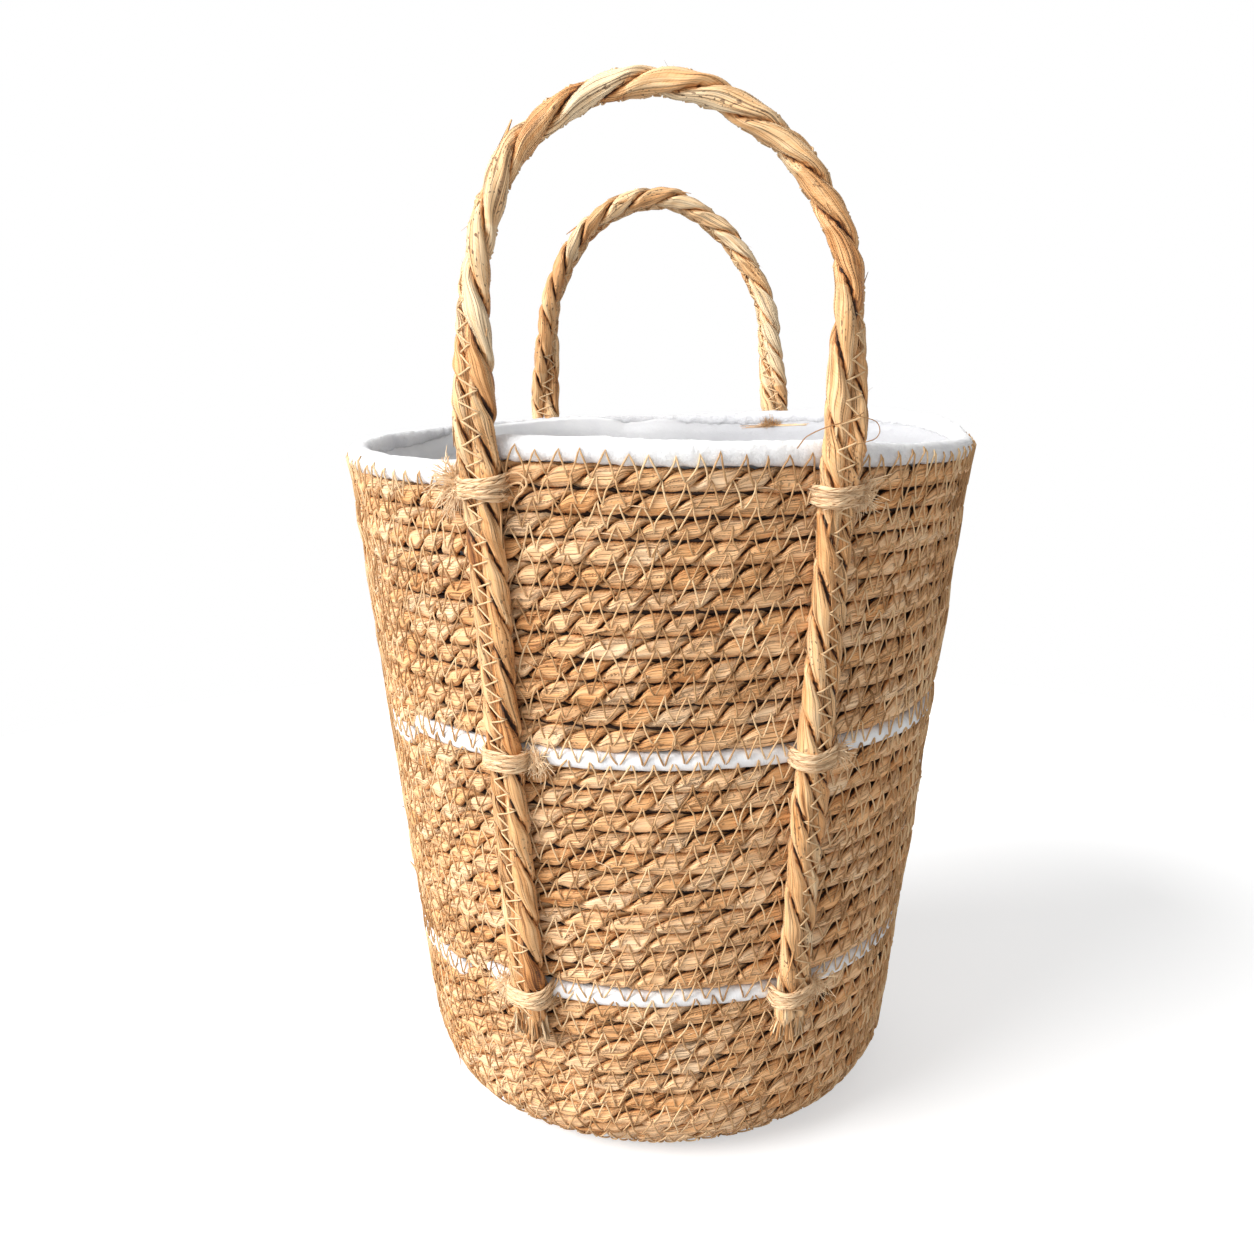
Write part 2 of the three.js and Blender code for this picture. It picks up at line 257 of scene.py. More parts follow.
# Meshes
class Shape:
    """Gathers tubes and strips into one mesh, with a fibre direction and a tone at each point."""

    def __init__(self):
        self.points, self.fibres, self.tones, self.faces, self.sizes = [], [], [], [], []
        self.count = 0

    def add_points(self, points, fibres, tones):
        first = self.count
        self.points.append(points.reshape(-1, 3))
        self.fibres.append(np.broadcast_to(fibres, points.shape).reshape(-1, 3))
        self.tones.append(np.broadcast_to(tones, points.shape[:-1]).reshape(-1))
        self.count += self.points[-1].shape[0]
        return first

    def add_faces(self, faces):
        self.faces.append(faces.reshape(-1))
        self.sizes.append(np.full(len(faces), faces.shape[1]))

    def tube(self, rings, fibres, tones, closed=False):
        """A closed body of rings of points: rings[i, j] is point j of ring i."""
        count, sides = rings.shape[:2]
        first = self.add_points(rings, fibres, tones)
        ring = np.arange(count if closed else count - 1)[:, None]
        side = np.arange(sides)[None, :]
        here, ahead = ring * sides, (ring + 1) % count * sides
        turned = (side + 1) % sides
        quads = np.stack([here + side, ahead + side, ahead + turned, here + turned], -1)
        self.add_faces(quads.reshape(-1, 4) + first)
        if not closed:
            cap = np.arange(sides)[None, :]
            self.add_faces(cap + first)
            self.add_faces(cap[:, ::-1] + first + (count - 1) * sides)

    def make(self, name, material):
        mesh = bpy.data.meshes.new(name)
        points = np.concatenate(self.points)
        loops = np.concatenate(self.faces)
        sizes = np.concatenate(self.sizes)
        mesh.vertices.add(len(points))
        mesh.vertices.foreach_set("co", points.astype(np.float32).ravel())
        mesh.loops.add(len(loops))
        mesh.loops.foreach_set("vertex_index", loops.astype(np.int32))
        mesh.polygons.add(len(sizes))
        starts = np.concatenate([[0], np.cumsum(sizes)[:-1]])
        mesh.polygons.foreach_set("loop_start", starts.astype(np.int32))
        mesh.polygons.foreach_set("use_smooth", np.ones(len(sizes), bool))
        fibre = mesh.attributes.new("fibre", "FLOAT_VECTOR", "POINT")
        fibre.data.foreach_set("vector", np.concatenate(self.fibres).astype(np.float32).ravel())
        tone = mesh.attributes.new("tone", "FLOAT", "POINT")
        tone.data.foreach_set("value", np.concatenate(self.tones).astype(np.float32))
        mesh.update(calc_edges=True)
        mesh.materials.append(material)
        piece = bpy.data.objects.new(name, mesh)
        bpy.context.scene.collection.objects.link(piece)
        return piece


def frames_along(path, out):
    """The way along a path, the way out square to it, and the way to its side."""
    along = unit(np.gradient(path, axis=0))
    out = unit(out - along * np.sum(out * along, -1, keepdims=True))
    return along, out, np.cross(out, along)


def rings_about(path, out, side, outwards, sideways):
    """A ring of points round each point of a path, by how far out and how far to its side each lies."""
    return path[:, None] + out[:, None] * outwards[..., None] + side[:, None] * sideways[..., None]


def thread(shape, path, out, radius, sides=5, tone=0.5, flatness=1.0):
    """A thread or a strip along a path. Its radius may change along it, and flatness thins it outwards."""
    _, out, side = frames_along(path, out)
    angle = full_circle(sides)
    radius = np.broadcast_to(radius, len(path))[:, None]
    across, outwards = np.sin(angle) * radius, np.cos(angle) * radius
    rings = rings_about(path, out, side, outwards * flatness, across)
    length = path_length(path)[:, None] + 0 * angle
    shape.tube(rings, np.stack([length, outwards, across], -1), tone)


# Laid rope: two strands turned round each other, each wider where it passes in front. Shares of the
# rope's radius.
STRAND_OFFSET = 0.45
STRAND_THICKNESS = 0.56
STRAND_WIDTH = 0.86
FRONT_SWELL = 0.06
# How many different tones the leaves of a strand have
LEAF_TONES = 32


def strand_angles(outer, inner):
    """Angles round a strand: close together on its outer side, far apart where it lies on the other one."""
    outer_arc = np.radians(np.linspace(-112, 112, outer))
    inner_arc = np.radians(np.linspace(112, 248, inner + 2)[1:-1])
    return np.concatenate([outer_arc, inner_arc])


def laid_rope(
    shape, path, out, radius, twist, rng, angles, ridges,
    tone_spread=1.0, tone_middle=0.67, painted_crease_shade=0.75, painted_seam_shade=0.0,
):
    """Two strands along a path. twist is the angle of the first one from the way out; ridges are pairs of
    a count of leaves round a strand and how far they stand out; the crease shade darkens the crease
    between the strands and the seam shade darkens the sides that lie on the next row, both painted shade."""
    _, out, side = frames_along(path, out)
    length = path_length(path)
    radius = np.broadcast_to(radius, length.shape)
    offset = (radius * STRAND_OFFSET)[:, None]
    for start in (0, math.pi):
        turn = twist + start
        lobe = np.floor((turn + math.pi) / (2 * math.pi)).astype(int)
        lobe -= lobe.min()
        lobe_swell = rng.uniform(-0.12, 0.12, lobe.max() + 1)[lobe] * (0.5 + 0.5 * np.cos(turn))
        fat = 1 + lobe_swell + layered_noise(rng, length, (0.05, 24 * MM), (0.05, 8 * MM))
        flat = 1 + lobe_swell + layered_noise(rng, length, (0.08, 37 * MM), (0.05, 7 * MM))
        flat = flat * (1 + FRONT_SWELL * np.cos(2 * turn))
        u = np.cos(turn)[:, None] * out + np.sin(turn)[:, None] * side
        v = -np.sin(turn)[:, None] * out + np.cos(turn)[:, None] * side
        untwisted = angles[None, :] + turn[:, None]
        height = np.zeros((len(length), len(angles)))
        shade = np.zeros_like(height)
        for count, ridge in ridges:
            drift = math.pi * (1.1 * smooth_noise(rng, length, 38 * MM) + rng.uniform(-1, 1))
            leaf_place = count * untwisted / 2 + drift[:, None]
            arched = np.abs(np.sin(leaf_place))
            height += ridge * (arched - 0.64)
            leaf = np.floor(leaf_place / math.pi).astype(int) % LEAF_TONES
            # Each leaf has its own random tone, and the grooves between leaves are darkened: painted shade
            leaf_tone_and_groove_shade = 0.16 * rng.uniform(-0.5, 0.5, LEAF_TONES)[leaf] - 0.2 * (1 - arched) ** 5
            shade += leaf_tone_and_groove_shade * min(1, ridge / (0.2 * MM))
        reach_u = (radius * STRAND_THICKNESS * fat)[:, None] + height
        reach_v = (radius * STRAND_WIDTH * flat)[:, None] + height
        outwards, sideways = np.cos(angles) * reach_u, np.sin(angles) * reach_v
        rings = rings_about(path + u * offset, u, v, outwards, sideways)
        lobe_tone = 0.36 * rng.uniform(-0.5, 0.5, lobe.max() + 1)[lobe]
        lobe_tone = lobe_tone + 0.14 * smooth_noise(rng, length, 90 * MM)
        # Painted shade, darkest in the crease between the two strands
        crease_shade_share = smoothstep(-np.hypot(offset + outwards, sideways) / radius[:, None], -0.82, -0.58)
        from_front = np.abs(wrapped(untwisted))
        tone = tone_middle + tone_spread * (lobe_tone[:, None] + shade) - painted_crease_shade * crease_shade_share
        # Painted shade on the sides of the strands that lie on the next row
        tone = tone - painted_seam_shade * smoothstep(from_front, 1.15, 1.6)
        across = np.stack([np.cos(untwisted), np.sin(untwisted)], -1)
        across = across * (radius * STRAND_WIDTH)[:, None, None]
        along = (length + rng.uniform(0, 50))[:, None] + 0 * angles
        shape.tube(rings, np.concatenate([along[..., None], across], -1), tone)


def strand_crest(turn, across, radius):
    """How far out of the rope's middle line its two strands reach, at a place across the rope."""
    thick, offset = STRAND_THICKNESS * radius, STRAND_OFFSET * radius
    wide = STRAND_WIDTH * radius * (1 + FRONT_SWELL * np.cos(2 * turn))
    crest = np.full(np.broadcast(turn, across).shape, -1.0)
    for start in (0, math.pi):
        c, s = np.cos(turn + start), np.sin(turn + start)
        y = across - offset * s
        a = (c / thick) ** 2 + (s / wide) ** 2
        b = 2 * y * c * s * (1 / thick**2 - 1 / wide**2)
        k = y * y * ((s / thick) ** 2 + (c / wide) ** 2) - 1
        inside = b * b - 4 * a * k
        reach = offset * c + (-b + np.sqrt(np.maximum(inside, 0))) / (2 * a)
        crest = np.where(inside > 0, np.maximum(crest, reach), crest)
    return crest


# Materials
def srgb(red, green, blue):
    """A colour given as it is seen, as Blender's linear values."""
    seen = np.array([red, green, blue])
    linear = np.where(seen < 0.04, seen / 12.92, ((seen + 0.055) / 1.055) ** 2.4)
    return (*linear.tolist(), 1.0)


class Nodes:
    """Builds the node tree of a material or a world."""

    def __init__(self, owner):
        self.owner = owner
        owner.use_nodes = True
        self.tree = owner.node_tree
        self.shader = self.tree.nodes.get("Principled BSDF")

    def new(self, kind, inputs=None, **settings):
        node = self.tree.nodes.new(kind)
        for key, value in settings.items():
            setattr(node, key, value)
        for key, value in (inputs or {}).items():
            if isinstance(value, bpy.types.NodeSocket):
                self.tree.links.new(value, node.inputs[key])
            else:
                node.inputs[key].default_value = value
        return node

    def tone(self):
        return self.new("ShaderNodeAttribute", attribute_name="tone").outputs["Fac"]

    def noise(self, vector, scale, detail=2.0, roughness=0.5):
        inputs = {"Vector": vector, "Scale": scale, "Detail": detail, "Roughness": roughness}
        return self.new("ShaderNodeTexNoise", inputs).outputs["Fac"]

    def fibre_noise(self, scale, detail=2.0, roughness=0.5):
        """Noise along the fibre, with a scale for its length and for each way across it."""
        fibre = self.new("ShaderNodeAttribute", attribute_name="fibre").outputs["Vector"]
        place = self.new("ShaderNodeMapping", {"Vector": fibre, "Scale": scale}).outputs["Vector"]
        return self.noise(place, 1.0, detail, roughness)

    def math(self, operation, first, second=0.0, third=0.0):
        node = self.new("ShaderNodeMath", {0: first, 1: second, 2: third}, operation=operation)
        return node.outputs[0]

    def swayed(self, base, noise, amount):
        """A base that goes up and down with a noise."""
        return self.math("MULTIPLY_ADD", self.math("SUBTRACT", noise, 0.5), amount, base)

    def line(self, field, middle, width):
        """Thin lines where a field passes its middle value."""
        away = self.math("ABSOLUTE", self.math("SUBTRACT", field, middle))
        return self.math("SUBTRACT", 1.0, self.remap(away, 0.0, width))

    def remap(self, value, low, high, to_low=0.0, to_high=1.0):
        inputs = {"Value": value, "From Min": low, "From Max": high, "To Min": to_low, "To Max": to_high}
        return self.new("ShaderNodeMapRange", inputs, interpolation_type="SMOOTHSTEP").outputs["Result"]

    def ramp(self, value, stops):
        node = self.new("ShaderNodeValToRGB", {"Fac": value})
        while len(node.color_ramp.elements) < len(stops):
            node.color_ramp.elements.new(0.5)
        for element, (place, colour) in zip(node.color_ramp.elements, stops):
            element.position = place
            element.color = colour
        return node.outputs["Color"]

    def mixed(self, share, first, second):
        node = self.new("ShaderNodeMix", data_type="RGBA")
        for socket, value in ((node.inputs[0], share), (node.inputs[6], first), (node.inputs[7], second)):
            if isinstance(value, bpy.types.NodeSocket):
                self.tree.links.new(value, socket)
            else:
                socket.default_value = value
        return node.outputs[2]

    def bump(self, height, strength, distance):
        inputs = {"Height": height, "Strength": strength, "Distance": distance}
        normal = self.new("ShaderNodeBump", inputs).outputs["Normal"]
        self.tree.links.new(normal, self.shader.inputs["Normal"])

    def colour(self, value):
        self.tree.links.new(value, self.shader.inputs["Base Color"])

    def set(self, **values):
        for key, value in values.items():
            self.shader.inputs[key.replace("_", " ")].default_value = value


def straw_material(name, shades, speck_share, gloss):
    """Dried leaf: long fine fibres along the strand, bands, dark lines between leaves and a few specks."""
    n = Nodes(bpy.data.materials.new(name))
    fine = n.fibre_noise((60, 1500, 1500), 2.0, 0.6)
    bands = n.fibre_noise((22, 520, 520))
    cloud = n.fibre_noise((60, 110, 110))
    shade = n.tone()
    for noise, amount in ((bands, 0.5), (fine, 0.4), (cloud, 0.4)):
        shade = n.swayed(shade, noise, amount)
    colour = n.ramp(shade, shades)
    lines = n.line(n.fibre_noise((12, 560, 560), 1.0, 0.4), 0.48, 0.026)
    finer = n.line(n.fibre_noise((20, 1250, 1250), 0.0), 0.54, 0.03)
    lines = n.math("MAXIMUM", lines, n.math("MULTIPLY", finer, 0.6))
    colour = n.mixed(n.math("MULTIPLY", lines, 0.72), colour, srgb(0.42, 0.25, 0.13))
    speck = n.fibre_noise((700, 900, 900), 0.0)
    patch = n.fibre_noise((35, 60, 60), 0.0)
    specks = n.math("MULTIPLY", n.remap(speck, 0.68, 0.74), n.remap(patch, 0.52, 0.6))
    colour = n.mixed(n.math("MULTIPLY", specks, speck_share), colour, srgb(0.34, 0.2, 0.11))
    n.colour(colour)
    n.set(Roughness=0.6, Specular_IOR_Level=gloss)
    height = n.math("MULTIPLY_ADD", bands, 0.9, n.math("MULTIPLY", fine, 0.6))
    height = n.math("MULTIPLY_ADD", lines, -0.7, height)
    n.bump(height, 1.0, 0.5 * MM)
    return n.owner


def thread_material():
    n = Nodes(bpy.data.materials.new("sewing_thread"))
    twist = n.fibre_noise((900, 3000, 3000))
    n.colour(n.ramp(n.swayed(n.tone(), twist, 0.6), THREAD_SHADES))
    n.set(Roughness=0.7, Specular_IOR_Level=0.3)
    n.bump(twist, 0.5, 0.2 * MM)
    return n.owner


def cord_material():
    """Soft white cotton cord, with a fine slanted lay."""
    n = Nodes(bpy.data.materials.new("white_cord"))
    lay = n.fibre_noise((1300, 700, 700))
    shade = n.swayed(n.fibre_noise((70, 90, 90)), lay, 0.4)
    n.colour(n.ramp(shade, CORD_SHADES))
    n.set(Roughness=0.85, Specular_IOR_Level=0.25)
    n.bump(lay, 0.5, 0.3 * MM)
    return n.owner


def cloth_material(name, low, high, painted_shade_colour, painted_shade_axis, painted_shade_range, thread_scale, relief, crumple, glow):
    """White cloth, with a fine weave, soft clouds and crumples. Over a range of one axis it greys to a darker
    colour, which is painted shade. glow is how far light spreads in it."""
    n = Nodes(bpy.data.materials.new(name))
    place = n.new("ShaderNodeTexCoord").outputs["Object"]
    weave = n.noise(place, thread_scale, 3.0, 0.6)
    cloud = n.noise(place, 60.0, 3.0, 0.5)
    shade = n.swayed(cloud, weave, 0.35)
    axes = n.new("ShaderNodeSeparateXYZ", {"Vector": place}).outputs
    # Painted shade: the cloth greys towards a darker colour over a range of one axis
    painted_shade_share = n.remap(axes[painted_shade_axis], *painted_shade_range)
    n.colour(n.mixed(painted_shade_share, n.ramp(shade, [(0.3, low), (0.65, high)]), painted_shade_colour))
    n.set(Roughness=0.9, Specular_IOR_Level=0.2, Sheen_Weight=0.2, Sheen_Roughness=0.6)
    n.set(Subsurface_Weight=0.8, Subsurface_Radius=(1, 1, 1), Subsurface_Scale=glow)
    creases = n.noise(place, 330.0, 3.0, 0.65)
    n.bump(n.math("MULTIPLY_ADD", creases, crumple, n.math("MULTIPLY", weave, relief)), 1.0, 1 * MM)
    return n.owner


def jute_material():
    n = Nodes(bpy.data.materials.new("jute"))
    fine = n.fibre_noise((250, 2600, 2600), 3.0, 0.6)
    n.colour(n.ramp(n.swayed(n.tone(), fine, 1.1), JUTE_SHADES))
    n.set(Roughness=0.75, Specular_IOR_Level=0.3)
    n.bump(fine, 0.9, 0.4 * MM)
    return n.owner


WALL_SHADES = [
    (0.0, srgb(0.16, 0.09, 0.045)),
    (0.14, srgb(0.52, 0.32, 0.175)),
    (0.26, srgb(0.77, 0.515, 0.295)),
    (0.46, srgb(0.91, 0.675, 0.44)),
    (0.7, srgb(0.965, 0.775, 0.575)),
    (1.0, srgb(0.985, 0.85, 0.69)),
]
HANDLE_SHADES = [
    (0.0, srgb(0.17, 0.09, 0.04)),
    (0.14, srgb(0.52, 0.31, 0.155)),
    (0.28, srgb(0.78, 0.525, 0.295)),
    (0.52, srgb(0.9, 0.685, 0.46)),
    (0.76, srgb(0.955, 0.79, 0.59)),
    (1.0, srgb(0.98, 0.87, 0.71)),
]
THREAD_SHADES = [
    (0.2, srgb(0.6, 0.44, 0.28)),
    (0.5, srgb(0.79, 0.63, 0.45)),
    (0.8, srgb(0.91, 0.79, 0.62)),
]
CORD_SHADES = [(0.25, srgb(0.86, 0.86, 0.87)), (0.6, srgb(0.955, 0.955, 0.955))]
JUTE_SHADES = [
    (0.1, srgb(0.64, 0.45, 0.29)),
    (0.45, srgb(0.9, 0.735, 0.55)),
    (0.85, srgb(0.98, 0.87, 0.72)),
]
wall_straw = straw_material("wall_straw", WALL_SHADES, 0.5, 0.35)
handle_straw = straw_material("handle_straw", HANDLE_SHADES, 0.8, 0.4)
thread_look = thread_material()
cord_look = cord_material()
jute_look = jute_material()
# The roll is a little greyer at the back, and the liner on its right: painted shade
roll_look = cloth_material(
    "rim_cloth", srgb(0.85, 0.85, 0.86), srgb(0.92, 0.92, 0.92), srgb(0.78, 0.78, 0.79), "Y",
    (0.02, 0.1), 900.0, 0.4, 1.3, 9 * MM,
)
liner_look = cloth_material(
    "liner_cloth", srgb(0.92, 0.92, 0.93), srgb(0.96, 0.96, 0.96), srgb(0.7, 0.7, 0.71), "X",
    (-0.05, 0.05), 2400.0, 0.15, 0.4, 1.5 * MM,
)


# The whole rope of the wall and base, sampled along its spiral
STEP = 1.35 * MM
ROPE_LAY = 26.5 * MM
# How much faster the strands turn where they cross, and slower where one lies in front
CROSSING_HASTE = 0.5
BASE_LIFT = 0.7 * MM
BASE_LIFT_FADE = 15 * MM
TOTAL_TURNS = WALL_TURNS + BASE_ROWS - 0.45

rng = np.random.default_rng(11)
coarse = np.linspace(0, TOTAL_TURNS, 40000)


def row_middle(turn):
    """A row's middle line down the wall, its radius, and how far it is lifted off the ground."""
    top, bottom = row_edges(turn)
    middle = (top + bottom) / 2
    return middle, (bottom - top) / 2, BASE_LIFT * smoothstep(middle, CORNER_END - BASE_LIFT_FADE, CORNER_END)


def rope_line(turn):
    """The middle line of the rope, the way out of the wall there, and the rope's radius."""
    middle, radius, lift = row_middle(turn)
    points, out = on_wall(azimuth_of(turn), middle, radius + lift)
    return points, out, radius


coarse_points, _, _ = rope_line(coarse)
coarse_length = path_length(coarse_points)
rope_length = coarse_length[-1]
rope_turns = np.interp(np.arange(0, rope_length, STEP), coarse_length, coarse)
rope_along = np.interp(rope_turns, coarse, coarse_length)
lay_rate = 1 + layered_noise(rng, rope_along, (0.18, 150 * MM), (0.2, 33 * MM))
rope_twist = np.cumsum(2 * math.pi / ROPE_LAY * lay_rate) * STEP
rope_twist -= CROSSING_HASTE / 2 * np.sin(2 * rope_twist)
rope_fat = 1 + layered_noise(rng, rope_along, (0.045, 70 * MM), (0.03, 19 * MM))
at_wall = 1 - smoothstep(rope_turns, WALL_TURNS - 3, WALL_TURNS - 1)
rope_out_shift = layered_noise(rng, rope_along, (0.5, 110 * MM), (0.4, 21 * MM)) * at_wall * MM
rope_side_shift = 0.35 * MM * smooth_noise(rng, rope_along, 42 * MM) * at_wall

# Where the colour changes to white and back, in turns from the top
WHITE_1 = (UPPER_ROWS - 29 / 360, UPPER_ROWS + 1 - 27 / 360)
WHITE_2 = (UPPER_ROWS + 1 + MIDDLE_ROWS - 14 / 360, UPPER_ROWS + 2 + MIDDLE_ROWS - 18 / 360)
JOIN_TAPER = 9 * MM


def is_white(turn):
    return ((turn > WHITE_1[0]) & (turn < WHITE_1[1])) | ((turn > WHITE_2[0]) & (turn < WHITE_2[1]))


def end_taper(along, thin):
    """1 along a length, and thinner towards both its ends."""
    from_end = np.minimum(along - along[0], along[-1] - along)
    return thin + (1 - thin) * smoothstep(from_end, 0, JOIN_TAPER)


wall_angles = strand_angles(17, 3)
wall_ridges = [(5, 0.13 * MM)]
FILLING_DEPTH = 4.9 * MM
FILLING_RADIUS = 1.5 * MM


def seam_shade_tube(shape, inside):
    """A dark tube behind the seam under each row, so that no light comes through it: painted shade between
    the rows.
    """
    turns = rope_turns[inside][::3]
    _, bottom = row_edges(turns)
    points, out = on_wall(azimuth_of(turns), bottom, FILLING_DEPTH)
    thread(shape, points, out, FILLING_RADIUS, sides=4, tone=-0.1)


def rope_part(first, last):
    """The rope between two counts of turns: its samples, middle line, way out, radius and place along."""
    inside = (rope_turns >= first) & (rope_turns <= last)
    points, out, radius = rope_line(rope_turns[inside])
    along = rope_along[inside]
    points = points + out * rope_out_shift[inside][:, None]
    points[:, 2] += rope_side_shift[inside]
    return inside, points, out, radius, along


def wall_rope(name, first, last, node, painted_crease_shade, taper_start=False, taper_end=False):
    inside, points, out, radius, along = rope_part(first, last)
    taper = end_taper(along, 0.4)
    middle = len(along) // 2
    if not taper_start:
        taper[:middle] = 1
    if not taper_end:
        taper[middle:] = 1
    shape = Shape()
    part_rng = np.random.default_rng(int(first * 10) + 100)
    laid_rope(
        shape, points, out, radius * rope_fat[inside] * taper, rope_twist[inside], part_rng,
        wall_angles, wall_ridges, painted_crease_shade=painted_crease_shade, painted_seam_shade=0.7,
    )
    seam_shade_tube(shape, inside)
    piece = shape.make(name, wall_straw)
    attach(piece, "basket")
    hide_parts(node)


# How far a piece of rope reaches into the one before it, in turns
OVERLAP = 0.0006


def rope_run(prefix, first, last, node, pieces, painted_crease_shade):
    """A run of rope rows, in pieces that follow each other."""
    edges = np.linspace(first, last, pieces + 1)
    for i in range(pieces):
        begin = edges[i] - (OVERLAP if i else 0)
        wall_rope(f"{prefix}_{i + 1}", begin, edges[i + 1], node, painted_crease_shade, i == 0, i == pieces - 1)


# Each run reaches a little way into the white row beside it
# Each run's last number is how dark its painted crease shade is
rope_run("upper_rope", 0.0, WHITE_1[0] + 0.008, "upper_wall", 4, 0.68)
rope_run("middle_rope", WHITE_1[1] - 0.008, WHITE_2[0] + 0.01, "middle_wall", 3, 0.48)
rope_run("lower_rope", WHITE_2[1] - 0.01, WALL_TURNS, "lower_wall", 3, 0.22)
rope_run("base_rope", WALL_TURNS, TOTAL_TURNS, "base_coil", 1, 0.3)


# White cord rows
STITCH_PERIOD = 8.1 * MM
CORD_SQUARENESS = 0.75


def stitch_wave(along):
    """1 where a stitch draws tight and 0 halfway to the next."""
    return 0.5 + 0.5 * np.cos(along / STITCH_PERIOD * 2 * math.pi)


def white_row(name, first, last, node, thickness):
    inside, points, out, radius, along = rope_part(first, last)
    part_rng = np.random.default_rng(int(first))
    angle = full_circle(14)
    _, out, side = frames_along(points, out)
    taper = end_taper(along, 0.3)
    pinch = 1 - 0.07 * stitch_wave(along) - 0.04 * smooth_noise(part_rng, along, 9 * MM)
    tall = radius * thickness * taper * pinch
    deep = radius * 0.99 * taper * (1 + 0.05 * smooth_noise(part_rng, along, 15 * MM))
    across = tall[:, None] * squared(np.sin(angle), CORD_SQUARENESS)
    outwards = deep[:, None] * squared(np.cos(angle), CORD_SQUARENESS)
    rings = rings_about(points, out, side, outwards, across)
    around = angle[None] + along[:, None] * 500
    fibres = np.stack([along[:, None] + 0 * around, np.cos(around) * 4 * MM, np.sin(around) * 4 * MM], -1)
    shape = Shape()
    shape.tube(rings, fibres, 0.5)
    piece = shape.make(name, cord_look)
    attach(piece, "basket")
    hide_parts(node)


white_row("upper_white_cord", *WHITE_1, "upper_white_row", 0.98)
white_row("lower_white_cord", *WHITE_2, "lower_white_row", 0.94)


# The rim roll steps up behind the front left leg, where the topmost turn of rope begins
ROLL_STEP = math.radians(7)
# It is slimmer at the front right, between these azimuths in radians
ROLL_SLIMMER = 0.13
SLIM_FROM = (0.5, 0.8)
SLIM_TO = (1.4, 1.8)
ROLL_STATIONS = 1440
roll_azimuths = np.linspace(-math.pi, math.pi, ROLL_STATIONS + 1)
sunk_levels = UPPER_PITCH * sunk_share((roll_azimuths - TURN_END) / (2 * math.pi))
step_window = np.hanning(int(ROLL_STEP / (roll_azimuths[1] - roll_azimuths[0])))
sunk_levels = np.convolve(np.tile(sunk_levels[:-1], 3), step_window / step_window.sum(), "same")
sunk_levels = sunk_levels[ROLL_STATIONS : 2 * ROLL_STATIONS]
sunk_levels = np.append(sunk_levels, sunk_levels[0])


def rim_sunk(azimuth):
    """How far the seam under the roll has sunk along the wall."""
    return np.interp(wrapped(azimuth), roll_azimuths, sunk_levels) + rim_dip(azimuth)


def roll_centre(azimuth):
    sunk = rim_sunk(azimuth)
    radius, height, _ = wall_point(sunk, 0)
    return radius + ROLL_OVERHANG - ROLL_RADIUS, height + SEAM_GAP + ROLL_RADIUS


def rim_roll():
    roll_rng = np.random.default_rng(5)
    count, sides = 960, 28
    azimuth = full_circle(count) - math.pi
    radius, height = roll_centre(azimuth)
    along = azimuth * SEAM_RADIUS
    sway = 0.5 * MM * np.sin(3 * azimuth + 1) + 0.3 * MM * np.sin(7 * azimuth)
    angle = full_circle(sides)
    low_side = smoothstep(-np.sin(angle), -0.2, 0.7)
    slim = ROLL_SLIMMER * smoothstep(azimuth, *SLIM_FROM) * (1 - smoothstep(azimuth, *SLIM_TO))
    swell = 1 - slim + 0.03 * np.sin(11 * azimuth + 2) + 0.02 * np.sin(29 * azimuth)
    height = height - slim * ROLL_RADIUS
    skewed = along[:, None] + 6 * MM * np.sin(angle)
    layers = (0.16 * MM, 3 * MM), (0.24 * MM, 7 * MM), (0.2 * MM, 26 * MM)
    gathers = layered_noise(roll_rng, skewed, *layers)
    gathers = gathers * (0.45 + 0.55 * smoothstep(-np.cos(angle), -0.6, 0.8))
    lumps = roll_rng.normal(0, 1, (count, sides))
    for axis in (0, 1):
        for _ in range(2):
            lumps = (np.roll(lumps, 1, axis) + lumps + np.roll(lumps, -1, axis)) / 3
    stitched = 1 - 0.09 * stitch_wave(along)[:, None] * low_side
    reach = ROLL_RADIUS * swell[:, None] * stitched + 0.4 * MM * lumps + gathers
    squareness = np.where(np.sin(angle) < 0, 0.64, 0.85)
    ring_radius = radius[:, None] + squared(np.cos(angle), squareness) * reach
    ring_height = (height + sway * 0.5)[:, None] + squared(np.sin(angle), squareness) * reach
    rings = around_axis(azimuth[:, None], ring_radius, ring_height)
    shape = Shape()
    shape.tube(rings, rings, 0.5, closed=True)
    piece = shape.make("rim_roll_cloth", roll_look)
    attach(piece, "basket")
    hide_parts("rim_roll")


rim_roll()


# The liner, a sewn bag whose cloth hangs from under the rim roll. Its upper edge stands higher or lower
# against the roll: mm, at degrees from the front by way of the left.
LINER_EDGE_AT = (0, 60, 108, 114, 128, 150, 163, 168, 171, 175, 179, 184, 190, 200, 240, 300, 360)
LINER_EDGE_RAISED = (0, 0, -2.6, -2.2, 2.2, 3.2, 3.2, 2.0, 0.2, 0.4, 1.9, 1.4, -0.6, -2.4, -2.6, -1, 0)
# Its wide upright folds, and loose ones that lean across them in waves, each with a count, a reach and
# a phase
UPRIGHT_FOLDS = 9
UPRIGHT_REACH = 1.6 * MM
LOOSE_FOLDS = (
    (5, 1.8 * MM, 5.2), (8, 2.2 * MM, 0.7), (13, 1.4 * MM, 3.9), (19, 0.5 * MM, 1.4), (29, 0.2 * MM, 4.6),
)
# How far its upper edge reaches back under the roll, where it is sewn
LINER_TUCK = 2.5 * MM
TUCK_FADE = 4.5 * MM
CLOTH_THICKNESS = 0.6 * MM


